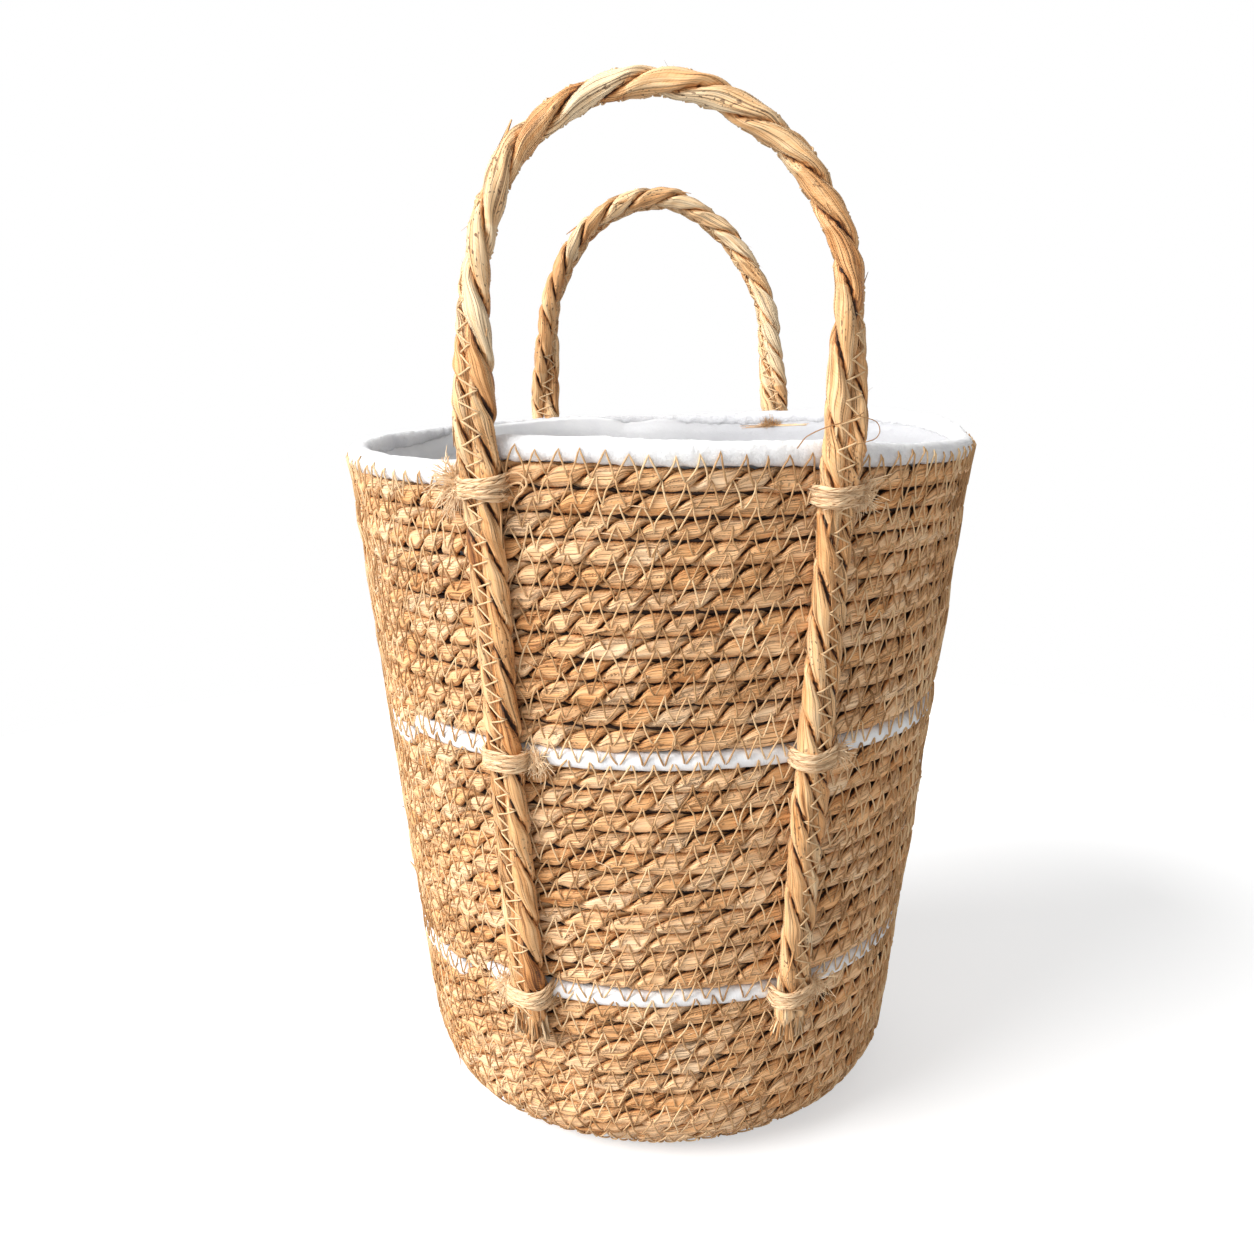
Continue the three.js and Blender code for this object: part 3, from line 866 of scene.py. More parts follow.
def liner_surface(azimuth, depth):
    """Points on the liner's inner side, at a depth along it from its upper edge."""
    sunk = rim_sunk(azimuth) * (1 - smoothstep(depth, 0, 60 * MM))
    share = np.clip(depth / CORNER_START, 0, 1)
    upright = UPRIGHT_REACH * 4 * share * (1 - share) * (1 - np.sin(UPRIGHT_FOLDS * azimuth))
    loose = 0
    for folds, reach, phase in LOOSE_FOLDS:
        lean_over = 60 * depth * (1 if folds % 2 else -1)
        loose = loose + reach * (1 + np.sin(folds * azimuth + phase + lean_over))
    ends = smoothstep(depth, CORNER_START - 40 * MM, CORNER_START + 20 * MM)
    sag = upright + loose * smoothstep(depth, 0, 42 * MM) * (1 - ends)
    tucked = LINER_TUCK * (1 - smoothstep(depth, 0, TUCK_FADE))
    points, _ = on_wall(azimuth, depth + sunk, LINER_INSET - tucked + sag)
    from_left = np.degrees(np.mod(-azimuth, 2 * math.pi))
    raised = MM * np.interp(from_left, LINER_EDGE_AT, LINER_EDGE_RAISED)
    points[..., 2] += (ROLL_RADIUS + SEAM_GAP + raised) * (1 - smoothstep(depth, 0, 9 * MM))
    return points


def liner():
    azimuth = full_circle(360)
    depth = np.concatenate([np.linspace(0, 30 * MM, 26), np.linspace(34 * MM, CORNER_END, 56)])
    floor_radii = np.linspace(0.97, 0.001, 16)
    grid_depth, grid_azimuth = np.meshgrid(depth, azimuth)
    points = liner_surface(grid_azimuth, grid_depth)
    edge_radius = np.linalg.norm(points[:, -1, :2], axis=-1)[:, None]
    floor_points = around_axis(azimuth[:, None], edge_radius * floor_radii, points[:, -1:, 2])
    inner = np.concatenate([points, floor_points], 1)
    tangent_a = np.roll(inner, -1, 0) - np.roll(inner, 1, 0)
    tangent_d = np.gradient(inner, axis=1)
    normal = unit(np.cross(tangent_d, tangent_a))
    outer = inner + normal * CLOTH_THICKNESS
    rings = np.concatenate([inner, outer[:, ::-1]], 1)
    shape = Shape()
    shape.tube(rings, rings, 0.5, closed=True)
    piece = shape.make("liner_bag", liner_look)
    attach(piece, "basket")
    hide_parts("cloth_liner")


liner()


# Sewing threads: each seam has a zig-zag from the middle of one row to the middle of the next
THREAD_RADIUS = 0.37 * MM
THREAD_LIFT = 0.8 * THREAD_RADIUS
DOWN_SHARE = 0.42
STITCH_REACH = 1.2
STROKE_STEPS = 7
STROKE_SHARE = np.linspace(0, 1, STROKE_STEPS + 1)
# How far a thread dives where the needle went in, over a seam of the wall and between a handle's ropes
SEAM_DIVE, PAIR_DIVE = 0.9 * MM, 0.8 * MM
# A height under every surface, where there is nothing for a thread to lie on
NO_SURFACE = -9 * MM


def along_strokes(ends):
    """Values along each stroke of a zig-zag, between its two ends."""
    return ends[:-1, None] + np.diff(ends)[:, None] * STROKE_SHARE


def there_and_back(count):
    """From 0 to 1 along every other stroke, and back along the ones between."""
    return np.where(np.arange(count)[:, None] % 2 == 0, STROKE_SHARE, 1 - STROKE_SHARE)


def joined(strokes):
    """The points of strokes that follow each other, as one path."""
    return np.concatenate([strokes[:, :-1].reshape(-1, 3), strokes[-1:, -1]])


def taut(heights):
    """The heights of a thread pulled tight over a surface: rows of heights at even steps."""
    count = heights.shape[1]
    tight = heights.copy()
    for left in range(count - 2):
        for right in range(left + 2, count):
            share = np.arange(1, right - left) / (right - left)
            line = heights[:, left, None] * (1 - share) + heights[:, right, None] * share
            tight[:, left + 1 : right] = np.maximum(tight[:, left + 1 : right], line)
    return tight


def row_height(turn, distance):
    """How far a row's surface lies out of the wall's outer face, at a distance down the wall."""
    middle, radius, lift = row_middle(turn)
    along = np.interp(turn, coarse, coarse_length)
    across = middle - distance
    fat = np.interp(along, rope_along, rope_fat)
    shift = np.interp(along, rope_along, rope_out_shift)
    laid = strand_crest(np.interp(along, rope_along, rope_twist), across, radius * fat)
    smooth_cord = 0.98 * radius * np.maximum(0, 1 - np.abs(across / (0.96 * radius)) ** 2.7) ** 0.37
    crest = np.where(is_white(turn), smooth_cord, laid)
    height = crest - radius - lift + shift
    return np.where(np.abs(across) < radius * 1.1, height, NO_SURFACE)


def roll_height(azimuth, distance):
    """How far the rim roll's surface lies out of the wall's outer face, at a distance down the wall."""
    above = distance - rim_sunk(azimuth) + SEAM_GAP + ROLL_RADIUS
    return ROLL_OVERHANG - ROLL_RADIUS + np.sqrt(np.maximum(ROLL_RADIUS**2 - above**2, 0))


def needle_turns(first, last):
    """Where the needle went in, in turns: by turns in the middle of the upper and of the lower row."""
    turns = [first]
    while turns[-1] < last:
        middle, _, _ = row_middle(turns[-1])
        radius, _, _ = wall_point(middle, 0)
        per_turn = max(round(2 * math.pi * float(radius) / STITCH_PERIOD) + 0.5, 3.5)
        share = DOWN_SHARE if len(turns) % 2 else 1 - DOWN_SHARE
        turns.append(turns[-1] + share / per_turn)
    return np.array(turns)


def seam_thread(name, first, last):
    seam_rng = np.random.default_rng(int(first) + 300)
    turns = needle_turns(first, last)
    turns = turns + seam_rng.normal(0, 0.0007, len(turns))
    turn = along_strokes(turns)
    turn = turn + seam_rng.normal(0, 0.0008, (len(turn), 1)) * np.sin(math.pi * STROKE_SHARE)
    row_above = np.maximum(turn - 1, 0)
    upper_middle, _, _ = row_middle(row_above)
    lower_middle, lower_radius, _ = row_middle(turn)
    roll_middle = lower_middle - lower_radius - SEAM_GAP - 0.9 * ROLL_RADIUS
    upper_middle = np.where(turn < 1, roll_middle, upper_middle)
    stray = seam_rng.normal(0, 0.08, len(turns))
    down = 0.5 + (there_and_back(len(turn)) - 0.5) * STITCH_REACH + along_strokes(stray)
    distance = upper_middle + (lower_middle - upper_middle) * down
    azimuth = azimuth_of(turn)
    upper_height = np.where(turn < 1, roll_height(azimuth, distance), row_height(row_above, distance))
    height = taut(np.maximum(upper_height, row_height(turn, distance))) + THREAD_LIFT
    height[:, [0, -1]] -= SEAM_DIVE
    points, out = on_wall(azimuth, distance, -height)
    path, out = joined(points), joined(out)
    shape = Shape()
    tones = 0.5 + 0.3 * smooth_noise(seam_rng, path_length(path), 40 * MM)
    thread(shape, path, out, THREAD_RADIUS, tone=tones[:, None])
    piece = shape.make(name, thread_look)
    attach(piece, "basket")


THREAD_RUNS = ((0, 11), (11, 23), (23, 35), (35, TOTAL_TURNS - 0.6))
for run, (run_start, run_end) in enumerate(THREAD_RUNS):
    seam_thread(f"seam_thread_{run + 1}", run_start, run_end)


# The two handles, each a pair of ropes that runs from the end of one leg to the end of the other
PAIR_HALF_WIDTH = THICK_RADIUS + THIN_RADIUS + PAIR_GAP / 2
THIN_PLACE = PAIR_HALF_WIDTH - THIN_RADIUS
THICK_PLACE = THICK_RADIUS - PAIR_HALF_WIDTH
ROLL_HEIGHT = SEAM_HEIGHT + SEAM_GAP + ROLL_RADIUS
RIM_TOP = ROLL_HEIGHT + ROLL_RADIUS
FLEX_HEIGHT = RIM_TOP + FLEX_ABOVE_RIM
ROLL_REACH = SEAM_RADIUS + ROLL_OVERHANG + SOFT_GAP
ARCH_RADIUS = (ROLL_REACH + THICK_RADIUS) * math.sin(LEG_AZIMUTH)
HANDLE_PLANE = abs(frame["joints"][0]["pos_m"][1])
SPRINGING = RIM_TOP + HANDLE_STRAIGHT
ROPE_STEP = 1.0 * MM

# How far each arch stands out of its half circle, at degrees from its left end as seen from outside. The
# first and last degrees are where the handle flexes.
ARCH_SHAPES = {
    "front": (
        (-39, 0, 10, 20, 30, 40, 60, 70, 90, 110, 120, 140, 150, 160, 170, 180, 219),
        (0, -1.2, -2, -1.8, -1.1, 0.3, 0.3, 0.8, 0.2, -1.4, -2.8, -2.8, -3.3, -2.2, -1.3, 0, 0),
    ),
    "back": (
        (-39, 0, 15, 35, 45, 55, 65, 75, 85, 105, 115, 125, 135, 145, 155, 165, 180, 219),
        (0, -5.2, -6.6, -7.8, -6.6, -5.2, -3.9, -1.1, 1.2, 1.4, 0.3, -0.3, -2.2, -3.3, -4.5, -3.9, -3, 0),
    ),
}
# How far above its flex each side of a pair, left and right as seen from outside, has turned fully
TURN_LENGTHS = {"front": (64 * MM, 48 * MM), "back": (46 * MM, 46 * MM)}


def pair_route(half):
    """The middle of a pair's ropes from the left leg's end to the right one's, the way out of the pair's
    face before it turns, how far it has turned, and where it lies on the wall."""
    depth = np.arange(LEG_LENGTH, TOP_TIE_DEPTH - TIE_WIDTH / 2, -ROPE_STEP)
    leg, leg_out = on_wall(-LEG_AZIMUTH, depth, 0.0)
    rise = np.arange(ROLL_HEIGHT - SPRINGING, 0, ROPE_STEP)
    around = np.arange(0, math.pi * ARCH_RADIUS / 2, ROPE_STEP)
    arch_length = math.pi * ARCH_RADIUS
    along = np.concatenate([rise, around, arch_length - around[::-1], arch_length - rise[::-1]])
    bend = np.clip(along / ARCH_RADIUS, 0, math.pi)
    straight = np.minimum(along, 0) + np.minimum(arch_length - along, 0)
    degrees, reaches = ARCH_SHAPES[half]
    reach = ARCH_RADIUS + MM * np.interp(np.degrees(along / ARCH_RADIUS), degrees, reaches)
    height = SPRINGING + straight + reach * np.sin(bend)
    handle = np.stack([-reach * np.cos(bend), 0 * bend - HANDLE_PLANE, height], -1)
    mirror = np.array([-1, 1, 1])
    path = np.concatenate([leg, handle, leg[::-1] * mirror])
    handle_out = np.broadcast_to([0, -1, 0], handle.shape)
    out = np.concatenate([leg_out, handle_out, leg_out[::-1] * mirror])
    above_flex = along + SPRINGING - FLEX_HEIGHT
    left_turn, right_turn = TURN_LENGTHS[half]
    turn = np.minimum(np.clip(above_flex / left_turn, 0, 1), np.clip(above_flex[::-1] / right_turn, 0, 1))
    turn = smoothed(turn[:, None] ** 0.7, 5)[:, 0]
    nothing = np.zeros(len(leg))
    turn = PAIR_TURN * np.concatenate([nothing, turn, nothing])
    lying = np.concatenate([nothing + 1, 0 * along, nothing + 1])
    return path, out, turn, lying


def smoothed(values, reach):
    """Values along a path with their corners rounded over a number of samples."""
    window = np.hanning(2 * reach + 3)[1:-1]
    window /= window.sum()
    padded = np.pad(values, ((reach, reach), (0, 0)), mode="edge")
    start, end = values[0], values[-1]
    padded[:reach] = 2 * start - values[reach:0:-1]
    padded[-reach:] = 2 * end - values[-2 : -reach - 2 : -1]
    return np.stack([np.convolve(padded[:, i], window, "valid") for i in range(values.shape[1])], -1)


class Pair:
    """Where the two ropes of one handle run."""

    def __init__(self, half):
        self.half = half
        path, out, turn, self.lying = pair_route(half)
        self.path = smoothed(path, 9)
        self.turned = turn / PAIR_TURN
        self.length = path_length(self.path)
        _, out, across = frames_along(self.path, smoothed(out, 9))
        self.face = out * np.cos(turn)[:, None] + across * np.sin(turn)[:, None]
        self.across = across * np.cos(turn)[:, None] - out * np.sin(turn)[:, None]
        self.out = out

    def rope_path(self, radius, place):
        lift = smoothed((self.lying * (radius + 0.1 * MM))[:, None], 9)
        return self.path + self.across * np.asarray(place)[..., None] + self.out * lift


handle_angles = strand_angles(22, 5)
# Counts of leaves round a strand, with how far they stand out
THICK_LEAVES = [(3, 0.34 * MM), (7, 0.3 * MM), (12, 0.18 * MM)]
THIN_LEAVES = [(3, 0.36 * MM), (7, 0.24 * MM)]
# Each rope's radius, place across the pair, lay, side of the leg and leaves
PAIR_ROPES = {
    "thick": (THICK_RADIUS, THICK_PLACE, 38 * MM, "inner", THICK_LEAVES),
    "thin": (THIN_RADIUS, THIN_PLACE, 25 * MM, "outer", THIN_LEAVES),
}
# How much wider these ropes are over the arch of their handle, where nothing squeezes them
ARCH_SWELL = {("front", "thick"): 0.13, ("back", "thin"): 0.42}


def turned_about(points, half):
    """Points of the front half as they lie on that half of the basket."""
    return points if half == "front" else points * np.array([-1, -1, 1])


def bends_with(piece):
    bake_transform(piece)


def pair_rope(pair, kind):
    half = pair.half
    radius, place, lay, lie, ridges = PAIR_ROPES[kind]
    rope_rng = np.random.default_rng([len(half), len(kind), 1])
    length = pair.length
    path = pair.rope_path(radius, place)
    path = path + pair.across * (0.35 * MM * smooth_noise(rope_rng, length, 30 * MM))[:, None]
    face_sway = 0.3 * MM * smooth_noise(rope_rng, length, 26 * MM) * (1 - pair.lying)
    path = path + pair.face * face_sway[:, None]
    swell = 1 + ARCH_SWELL.get((half, kind), 0) * pair.turned
    rate = 2 * math.pi / (lay * swell) * (1 + 0.12 * smooth_noise(rope_rng, length, 60 * MM))
    twist = np.cumsum(rate * np.gradient(length)) + rope_rng.uniform(0, 3)
    from_end = np.minimum(length, length[-1] - length)
    fat = radius * swell * (1.05 + 0.05 * smooth_noise(rope_rng, length, 40 * MM))
    fat = fat * (0.6 + 0.4 * smoothstep(from_end, 0, 6 * MM))
    # On each handle's left, as seen from outside, the legs are darker and the arch is lighter: painted shade
    # and painted light
    left = smoothstep(-path[:, 0], 0, 20 * MM)
    tone_middle = 0.7 + left * (0.13 * pair.turned - 0.17 * pair.lying)
    shape = Shape()
    laid_rope(
        shape, turned_about(path, half), turned_about(pair.face, half), fat, twist, rope_rng,
        handle_angles, ridges, tone_spread=0.95, tone_middle=tone_middle[:, None], painted_crease_shade=0.6,
    )
    piece = shape.make(f"{half}_{kind}_rope", handle_straw)
    bends_with(piece)
    legs = [f"{half}_{hand}_leg_{lie}_rope" for hand in ("left", "right")]
    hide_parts(f"{half}_handle_{lie}_rope", *legs)
    return path, twist, fat


PAIR_STITCH_PERIOD = 7.6 * MM


def pair_thread(pair, ropes, face, name):
    """The zig-zag thread over the seam between the two ropes of a pair, on one of its faces."""
    (thick_path, thick_twist, thick_radius), (thin_path, thin_twist, thin_radius) = ropes
    stitch_rng = np.random.default_rng([len(name), 2])
    end_gap = 4 * MM
    count = int((pair.length[-1] - 2 * end_gap) / PAIR_STITCH_PERIOD)
    ends = end_gap + np.cumsum(np.resize([0.45, 0.55], 2 * count)) * PAIR_STITCH_PERIOD
    ends = ends + stitch_rng.normal(0, 0.35 * MM, len(ends))
    along = along_strokes(ends)
    over = there_and_back(len(along)) + along_strokes(stitch_rng.normal(0, 0.08, len(ends)))

    def at(values):
        if values.ndim == 1:
            return np.interp(along, pair.length, values)
        return columns_at(along, pair.length, values)

    to_thin = at(thin_path) - at(thick_path)
    out = at(pair.face) * face
    place = at(thick_path) + to_thin * over[..., None]
    width = np.linalg.norm(to_thin, axis=-1)
    seen_turn = 0 if face > 0 else math.pi
    thick_crest = strand_crest(at(thick_twist) + seen_turn, width * over * face, at(thick_radius))
    thin_crest = strand_crest(at(thin_twist) + seen_turn, -width * (1 - over) * face, at(thin_radius))
    step = np.sum(to_thin * out, -1)
    crest = np.where(thick_crest > -0.5, thick_crest - step * over, NO_SURFACE)
    crest = np.maximum(crest, np.where(thin_crest > -0.5, thin_crest + step * (1 - over), NO_SURFACE))
    height = taut(crest) + THREAD_LIFT
    height[:, [0, -1]] -= PAIR_DIVE
    path = turned_about(joined(place + out * height[..., None]), pair.half)
    shape = Shape()
    thread(shape, path, turned_about(joined(out), pair.half), THREAD_RADIUS, tone=0.68)
    piece = shape.make(name, thread_look)
    bends_with(piece)


pairs = {}
pair_ropes = {}
for half in ("front", "back"):
    pairs[half] = Pair(half)
    pair_ropes[half] = pair_rope(pairs[half], "thick"), pair_rope(pairs[half], "thin")
    pair_thread(pairs[half], pair_ropes[half], 1, f"{half}_outside_pair_thread")
    pair_thread(pairs[half], pair_ropes[half], -1, f"{half}_inside_pair_thread")


# The jute ties that bind each leg to the wall
STRAND_RADIUS = 0.8 * MM
TIE_STRANDS = 8
TIE_STRAND_PITCH = 0.85 * MM
TIE_FIBRES = 44
TIE_HAIRS = 46
KNOT_FIBRES, LOOSE_KNOT_FIBRES = 110, 190
# One tie sits higher on its leg, and its knot is loose
TIE_RAISED = {("front", "left", "top"): 3.2 * MM}


def arc_points(middle, radius, from_degrees, to_degrees, count):
    turn = np.radians(np.linspace(from_degrees, to_degrees, count))
    return np.array(middle) + radius * np.stack([np.cos(turn), np.sin(turn)], -1)


def tie_section():
    """A strand's route across a leg: up beside the thick rope, over both and down beside the thin one."""
    thick = THICK_RADIUS + STRAND_RADIUS
    thin = THIN_RADIUS + STRAND_RADIUS
    over_thick = arc_points((THICK_PLACE, THICK_RADIUS), thick, 180, 84, 14)
    over_thin = arc_points((THIN_PLACE, THIN_RADIUS), thin, 84, 0, 12)
    foot = -2.5 * MM
    left = [[THICK_PLACE - thick + 0.6 * MM, foot]]
    right = [[THIN_PLACE + thin - 0.6 * MM, foot]]
    corners = np.concatenate([left, over_thick, over_thin, right])
    length = path_length(corners)
    return columns_at(np.arange(0, length[-1], 0.7 * MM), length, corners)


section = tie_section()


def loose_fibre(
    shape, fibre_rng, start, way, length, radius, half,
    flatness=1.0, sag=0.4, tone=None, bend=0.45, tip=0.25,
):
    """A single fibre or strip that leaves a point, bending as it goes."""
    steps = 8
    share = np.linspace(0, 1, steps)
    aside = unit(np.cross(way, fibre_rng.normal(size=3)))
    bent = fibre_rng.normal(0, bend)
    path = start + length * (way * share[:, None] + aside * (bent * share**2)[:, None])
    path[:, 2] -= sag * length * share**2
    taper = radius * (1 - (1 - tip) * share)
    tone = fibre_rng.uniform(0.3, 0.9) if tone is None else tone
    out = np.tile(turned_about(aside, half), (steps, 1))
    thread(shape, turned_about(path, half), out, taper, 4, tone, flatness)


def jute_tie(half, hand, level):
    side = -1 if hand == "left" else 1
    tie_rng = np.random.default_rng([len(half), len(hand), len(level), 4])
    depth = TIE_DEPTHS[level] - TIE_RAISED.get((half, hand, level), 0)
    middle, out = on_wall(side * LEG_AZIMUTH, depth, 0.0)
    above, _ = on_wall(side * LEG_AZIMUTH, depth - 1 * MM, 0.0)
    up = unit(above - middle)
    across = unit(np.cross(out, up)) * -side
    across = across if np.dot(across, [side, 0, 0]) > 0 else -across
    shape = Shape()
    length = path_length(section)
    from_middle = length / length[-1] - 0.5

    def over_leg(lifted, level_up):
        """A route over the leg's two ropes, lifted off them and at a level up the leg."""
        reach = section + unit(section - np.array([0, THIN_RADIUS])) * lifted[:, None]
        return middle + across * reach[:, :1] + out * reach[:, 1:] + up * level_up[:, None]

    for i in range(TIE_STRANDS):
        level_up = (i - (TIE_STRANDS - 1) / 2) * TIE_STRAND_PITCH
        slant = tie_rng.uniform(-4.4, 4.4) * from_middle
        drift = MM * (0.7 * smooth_noise(tie_rng, length, 8 * MM) + slant)
        lifted = 0.35 * MM * (1 + smooth_noise(tie_rng, length, 7 * MM)) + (0.5 * MM if i % 2 else 0)
        path = over_leg(lifted, level_up + drift)
        normal = unit(path - middle - up * level_up - out * THIN_RADIUS)
        twist = length / (10 * MM) * 2 * math.pi + tie_rng.uniform(0, 6)
        thick = STRAND_RADIUS * (1 + 0.25 * smooth_noise(tie_rng, length, 12 * MM))
        laid_rope(
            shape, turned_about(path, half), turned_about(normal, half), thick, twist, tie_rng,
            strand_angles(7, 2), [(3, 0.06 * MM)], tone_spread=0.5,
        )
    for _ in range(TIE_FIBRES):
        level_up = tie_rng.uniform(-3.2, 3.2) * MM
        wander = 1.1 * smooth_noise(tie_rng, length, 7 * MM) + tie_rng.uniform(-3, 3) * from_middle
        lifted = 0.8 * MM + MM * tie_rng.uniform(0.1, 1.0) * (1 + smooth_noise(tie_rng, length, 8 * MM))
        path = over_leg(lifted, level_up + MM * wander)
        first = tie_rng.integers(0, len(path) // 2)
        last = first + tie_rng.integers(len(path) // 3, len(path))
        path = turned_about(path[first:last], half)
        fibre_tone = tie_rng.uniform(0.4, 1.0)
        thread(shape, path, np.tile(turned_about(out, half), (len(path), 1)), 0.15 * MM, 3, fibre_tone)
    frayed_side = 1 if hand == "right" or level == "middle" else -1
    edge = section[-1] if frayed_side * side > 0 else section[0]
    knot = middle + across * (edge[0] + np.sign(edge[0]) * 4.2 * MM) + out * 1.2 * MM
    loose_knot = (half, hand, level) in TIE_RAISED
    knot_reach = 1.6 * MM if loose_knot else 1 * MM
    for _ in range(LOOSE_KNOT_FIBRES if loose_knot else KNOT_FIBRES):
        start = knot + (across * tie_rng.normal(0, 1.9) + up * tie_rng.normal(0, 1.5)) * MM
        away = across * np.sign(edge[0])
        way = away * tie_rng.uniform(-0.5, 0.8) + up * tie_rng.normal(0, 1.0)
        way = unit(way + out * tie_rng.uniform(0.05, 0.5))
        reach = tie_rng.uniform(3, 7.5) * knot_reach
        tone = tie_rng.uniform(0.5, 1.3)
        thick = 0.27 * MM if loose_knot else 0.2 * MM
        loose_fibre(shape, tie_rng, start, way, reach, thick, half, sag=0.1, tone=tone, bend=0.6, tip=0.5)
    for _ in range(TIE_HAIRS):
        at = tie_rng.integers(1, len(section) - 1)
        start = middle + across * section[at, 0] + out * section[at, 1] + up * tie_rng.uniform(-4, 4) * MM
        away = unit(start - middle - out * THIN_RADIUS)
        way = away * tie_rng.uniform(0.1, 0.9) + up * tie_rng.normal(0, 0.8)
        way = unit(way + across * tie_rng.normal(0, 0.8))
        loose_fibre(shape, tie_rng, start, way, tie_rng.uniform(2, 6) * MM, 0.1 * MM, half)
    piece = shape.make(f"{half}_{hand}_{level}_jute", jute_look)
    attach(piece, "basket")
    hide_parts(f"{half}_{hand}_{level}_tie")


for half in ("front", "back"):
    for hand in ("left", "right"):
        for level in TIE_DEPTHS:
            jute_tie(half, hand, level)


# The frayed ends of the legs: leaf strips that spread below the low ties
FRAYED_STRIPS = 70


def frayed_end(pair, hand):
    fray_rng = np.random.default_rng([len(pair.half), len(hand), 6])
    shape = Shape()
    from_end = 1 if hand == "left" else -1
    for path, _, radius in pair_ropes[pair.half]:
        points, outs, sides = path[::from_end], pair.face[::from_end], pair.across[::from_end]
        thick = radius.max()
        down = unit(points[0] - points[8])
        for _ in range(FRAYED_STRIPS):
            angle = fray_rng.uniform(0, 2 * math.pi)
            aside = outs[5] * math.cos(angle) + sides[5] * math.sin(angle)
            start = points[5] + aside * thick * fray_rng.uniform(0.25, 0.72)
            way = unit(down + aside * fray_rng.uniform(-0.05, 0.28) - outs[5] * 0.08)
            width = fray_rng.uniform(0.5, 1.3) * MM
            reach = fray_rng.uniform(7.5, 11) * MM
            tone = fray_rng.uniform(0.35, 1.05)
            loose_fibre(
                shape, fray_rng, start, way, reach, width, pair.half, 0.22, 0.0, tone, bend=0.1, tip=0.85,
            )
    piece = shape.make(f"{pair.half}_{hand}_frayed_end", handle_straw)
    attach(piece, "basket")


for half in ("front", "back"):
    for hand in ("left", "right"):
        frayed_end(pairs[half], hand)


# Torn leaf edges that lift off the wall rope
def wall_flakes(count):
    flake_rng = np.random.default_rng(21)
    shape = Shape()
    for _ in range(count):
        turn = flake_rng.uniform(0.1, WALL_TURNS - 4)
        if is_white(np.asarray(turn)):
            continue
        middle, radius, _ = row_middle(turn)
        distance = middle + flake_rng.uniform(-0.55, 0.55) * radius
        height = row_height(np.asarray(turn), distance)
        azimuth = azimuth_of(turn)
        start, out = on_wall(azimuth, distance, -height + 0.15 * MM)
        right = np.array([math.cos(azimuth), math.sin(azimuth), 0])
        up = np.cross(out, right)
        way = right * flake_rng.choice([-1, 1]) + up * flake_rng.normal(0, 0.45)
        way = unit(way + out * flake_rng.uniform(0.02, 0.2))
        width = flake_rng.uniform(0.25, 1.1) * MM
        reach = flake_rng.uniform(3, 9) * MM
        tone = flake_rng.uniform(0.3, 1.0)
        loose_fibre(shape, flake_rng, start, way, reach, width, "front", 0.15, 0.05, tone, bend=0.25)
    piece = shape.make("wall_flakes", wall_straw)
    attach(piece, "basket")


wall_flakes(420)


def handle_bristles(pair, count):
    """Broken leaf ends and hairs along the handle's ropes."""
    bristle_rng = np.random.default_rng([len(pair.half), 9])
    shape = Shape()
    for _ in range(count):
        path, _, radius = pair_ropes[pair.half][bristle_rng.integers(2)]
        at = bristle_rng.integers(12, len(path) - 12)
        angle = bristle_rng.uniform(-2.0, 2.0)
        aside = pair.face[at] * math.cos(angle) + pair.across[at] * math.sin(angle)
        along = unit(path[at + 2] - path[at - 2]) * bristle_rng.choice([-1, 1])
        start = path[at] + aside * radius[at] * 0.86
        flat_leaf = bristle_rng.uniform() < 0.35
        lift = bristle_rng.uniform(0.0, 0.13) if flat_leaf else bristle_rng.uniform(0.1, 0.8)
        way = unit(along + aside * lift)
        width = bristle_rng.uniform(0.4, 1.2) * MM if flat_leaf else 0.09 * MM
        reach = bristle_rng.uniform(5, 16) * MM if flat_leaf else bristle_rng.uniform(1, 4) * MM
        flatness = 0.15 if flat_leaf else 1.0
        tone = bristle_rng.uniform(0.3, 0.85)
        loose_fibre(shape, bristle_rng, start, way, reach, width, pair.half, flatness, 0.0, tone, bend=0.2)
    piece = shape.make(f"{pair.half}_handle_bristles", handle_straw)
    bends_with(piece)


for half in ("front", "back"):
    handle_bristles(pairs[half], 260)


# Two long loose ends of the sewing thread at the front handle's right leg and two curled ends of the left
# top tie, as routes of x and height in mm
LOOSE_END = (
    (47.7, 302.9), (50.3, 306.7), (53.7, 308.7), (58.5, 310.8), (61.9, 311.6), (66, 313.1), (70, 315.4),
)
LOOSE_LOOP = (
    (66.5, 314.5), (71.1, 313.6), (75, 312.2), (76.3, 309), (74.8, 306.4), (71.5, 305.4), (66.5, 304.2),
)
CURLED_ENDS = (
    ((-57, 291), (-53.5, 294), (-50, 294.6), (-47, 292.6), (-46.6, 289.6), (-49, 288.2)),
    ((-56, 288), (-52.4, 290.4), (-49, 291.2), (-47.4, 288.4), (-50.6, 286), (-52.2, 282.4)),
)
# A brown tuft of fibre on the liner under the rim roll at the back
TUFT_AZIMUTHS = (math.radians(162), math.radians(141))
TUFT_MIDDLE = math.radians(152)
TUFT_STRIPS, TUFT_HAIRS = 7, 130


def rounded_route(route, plane, steps):
    """A smooth curve through points of x and height on a plane of one y."""
    route = np.array(route) * MM
    stations = path_length(route)
    points = columns_at(np.linspace(0, stations[-1], steps), stations, route)
    return smoothed(np.insert(points, 1, plane, axis=1), 3)


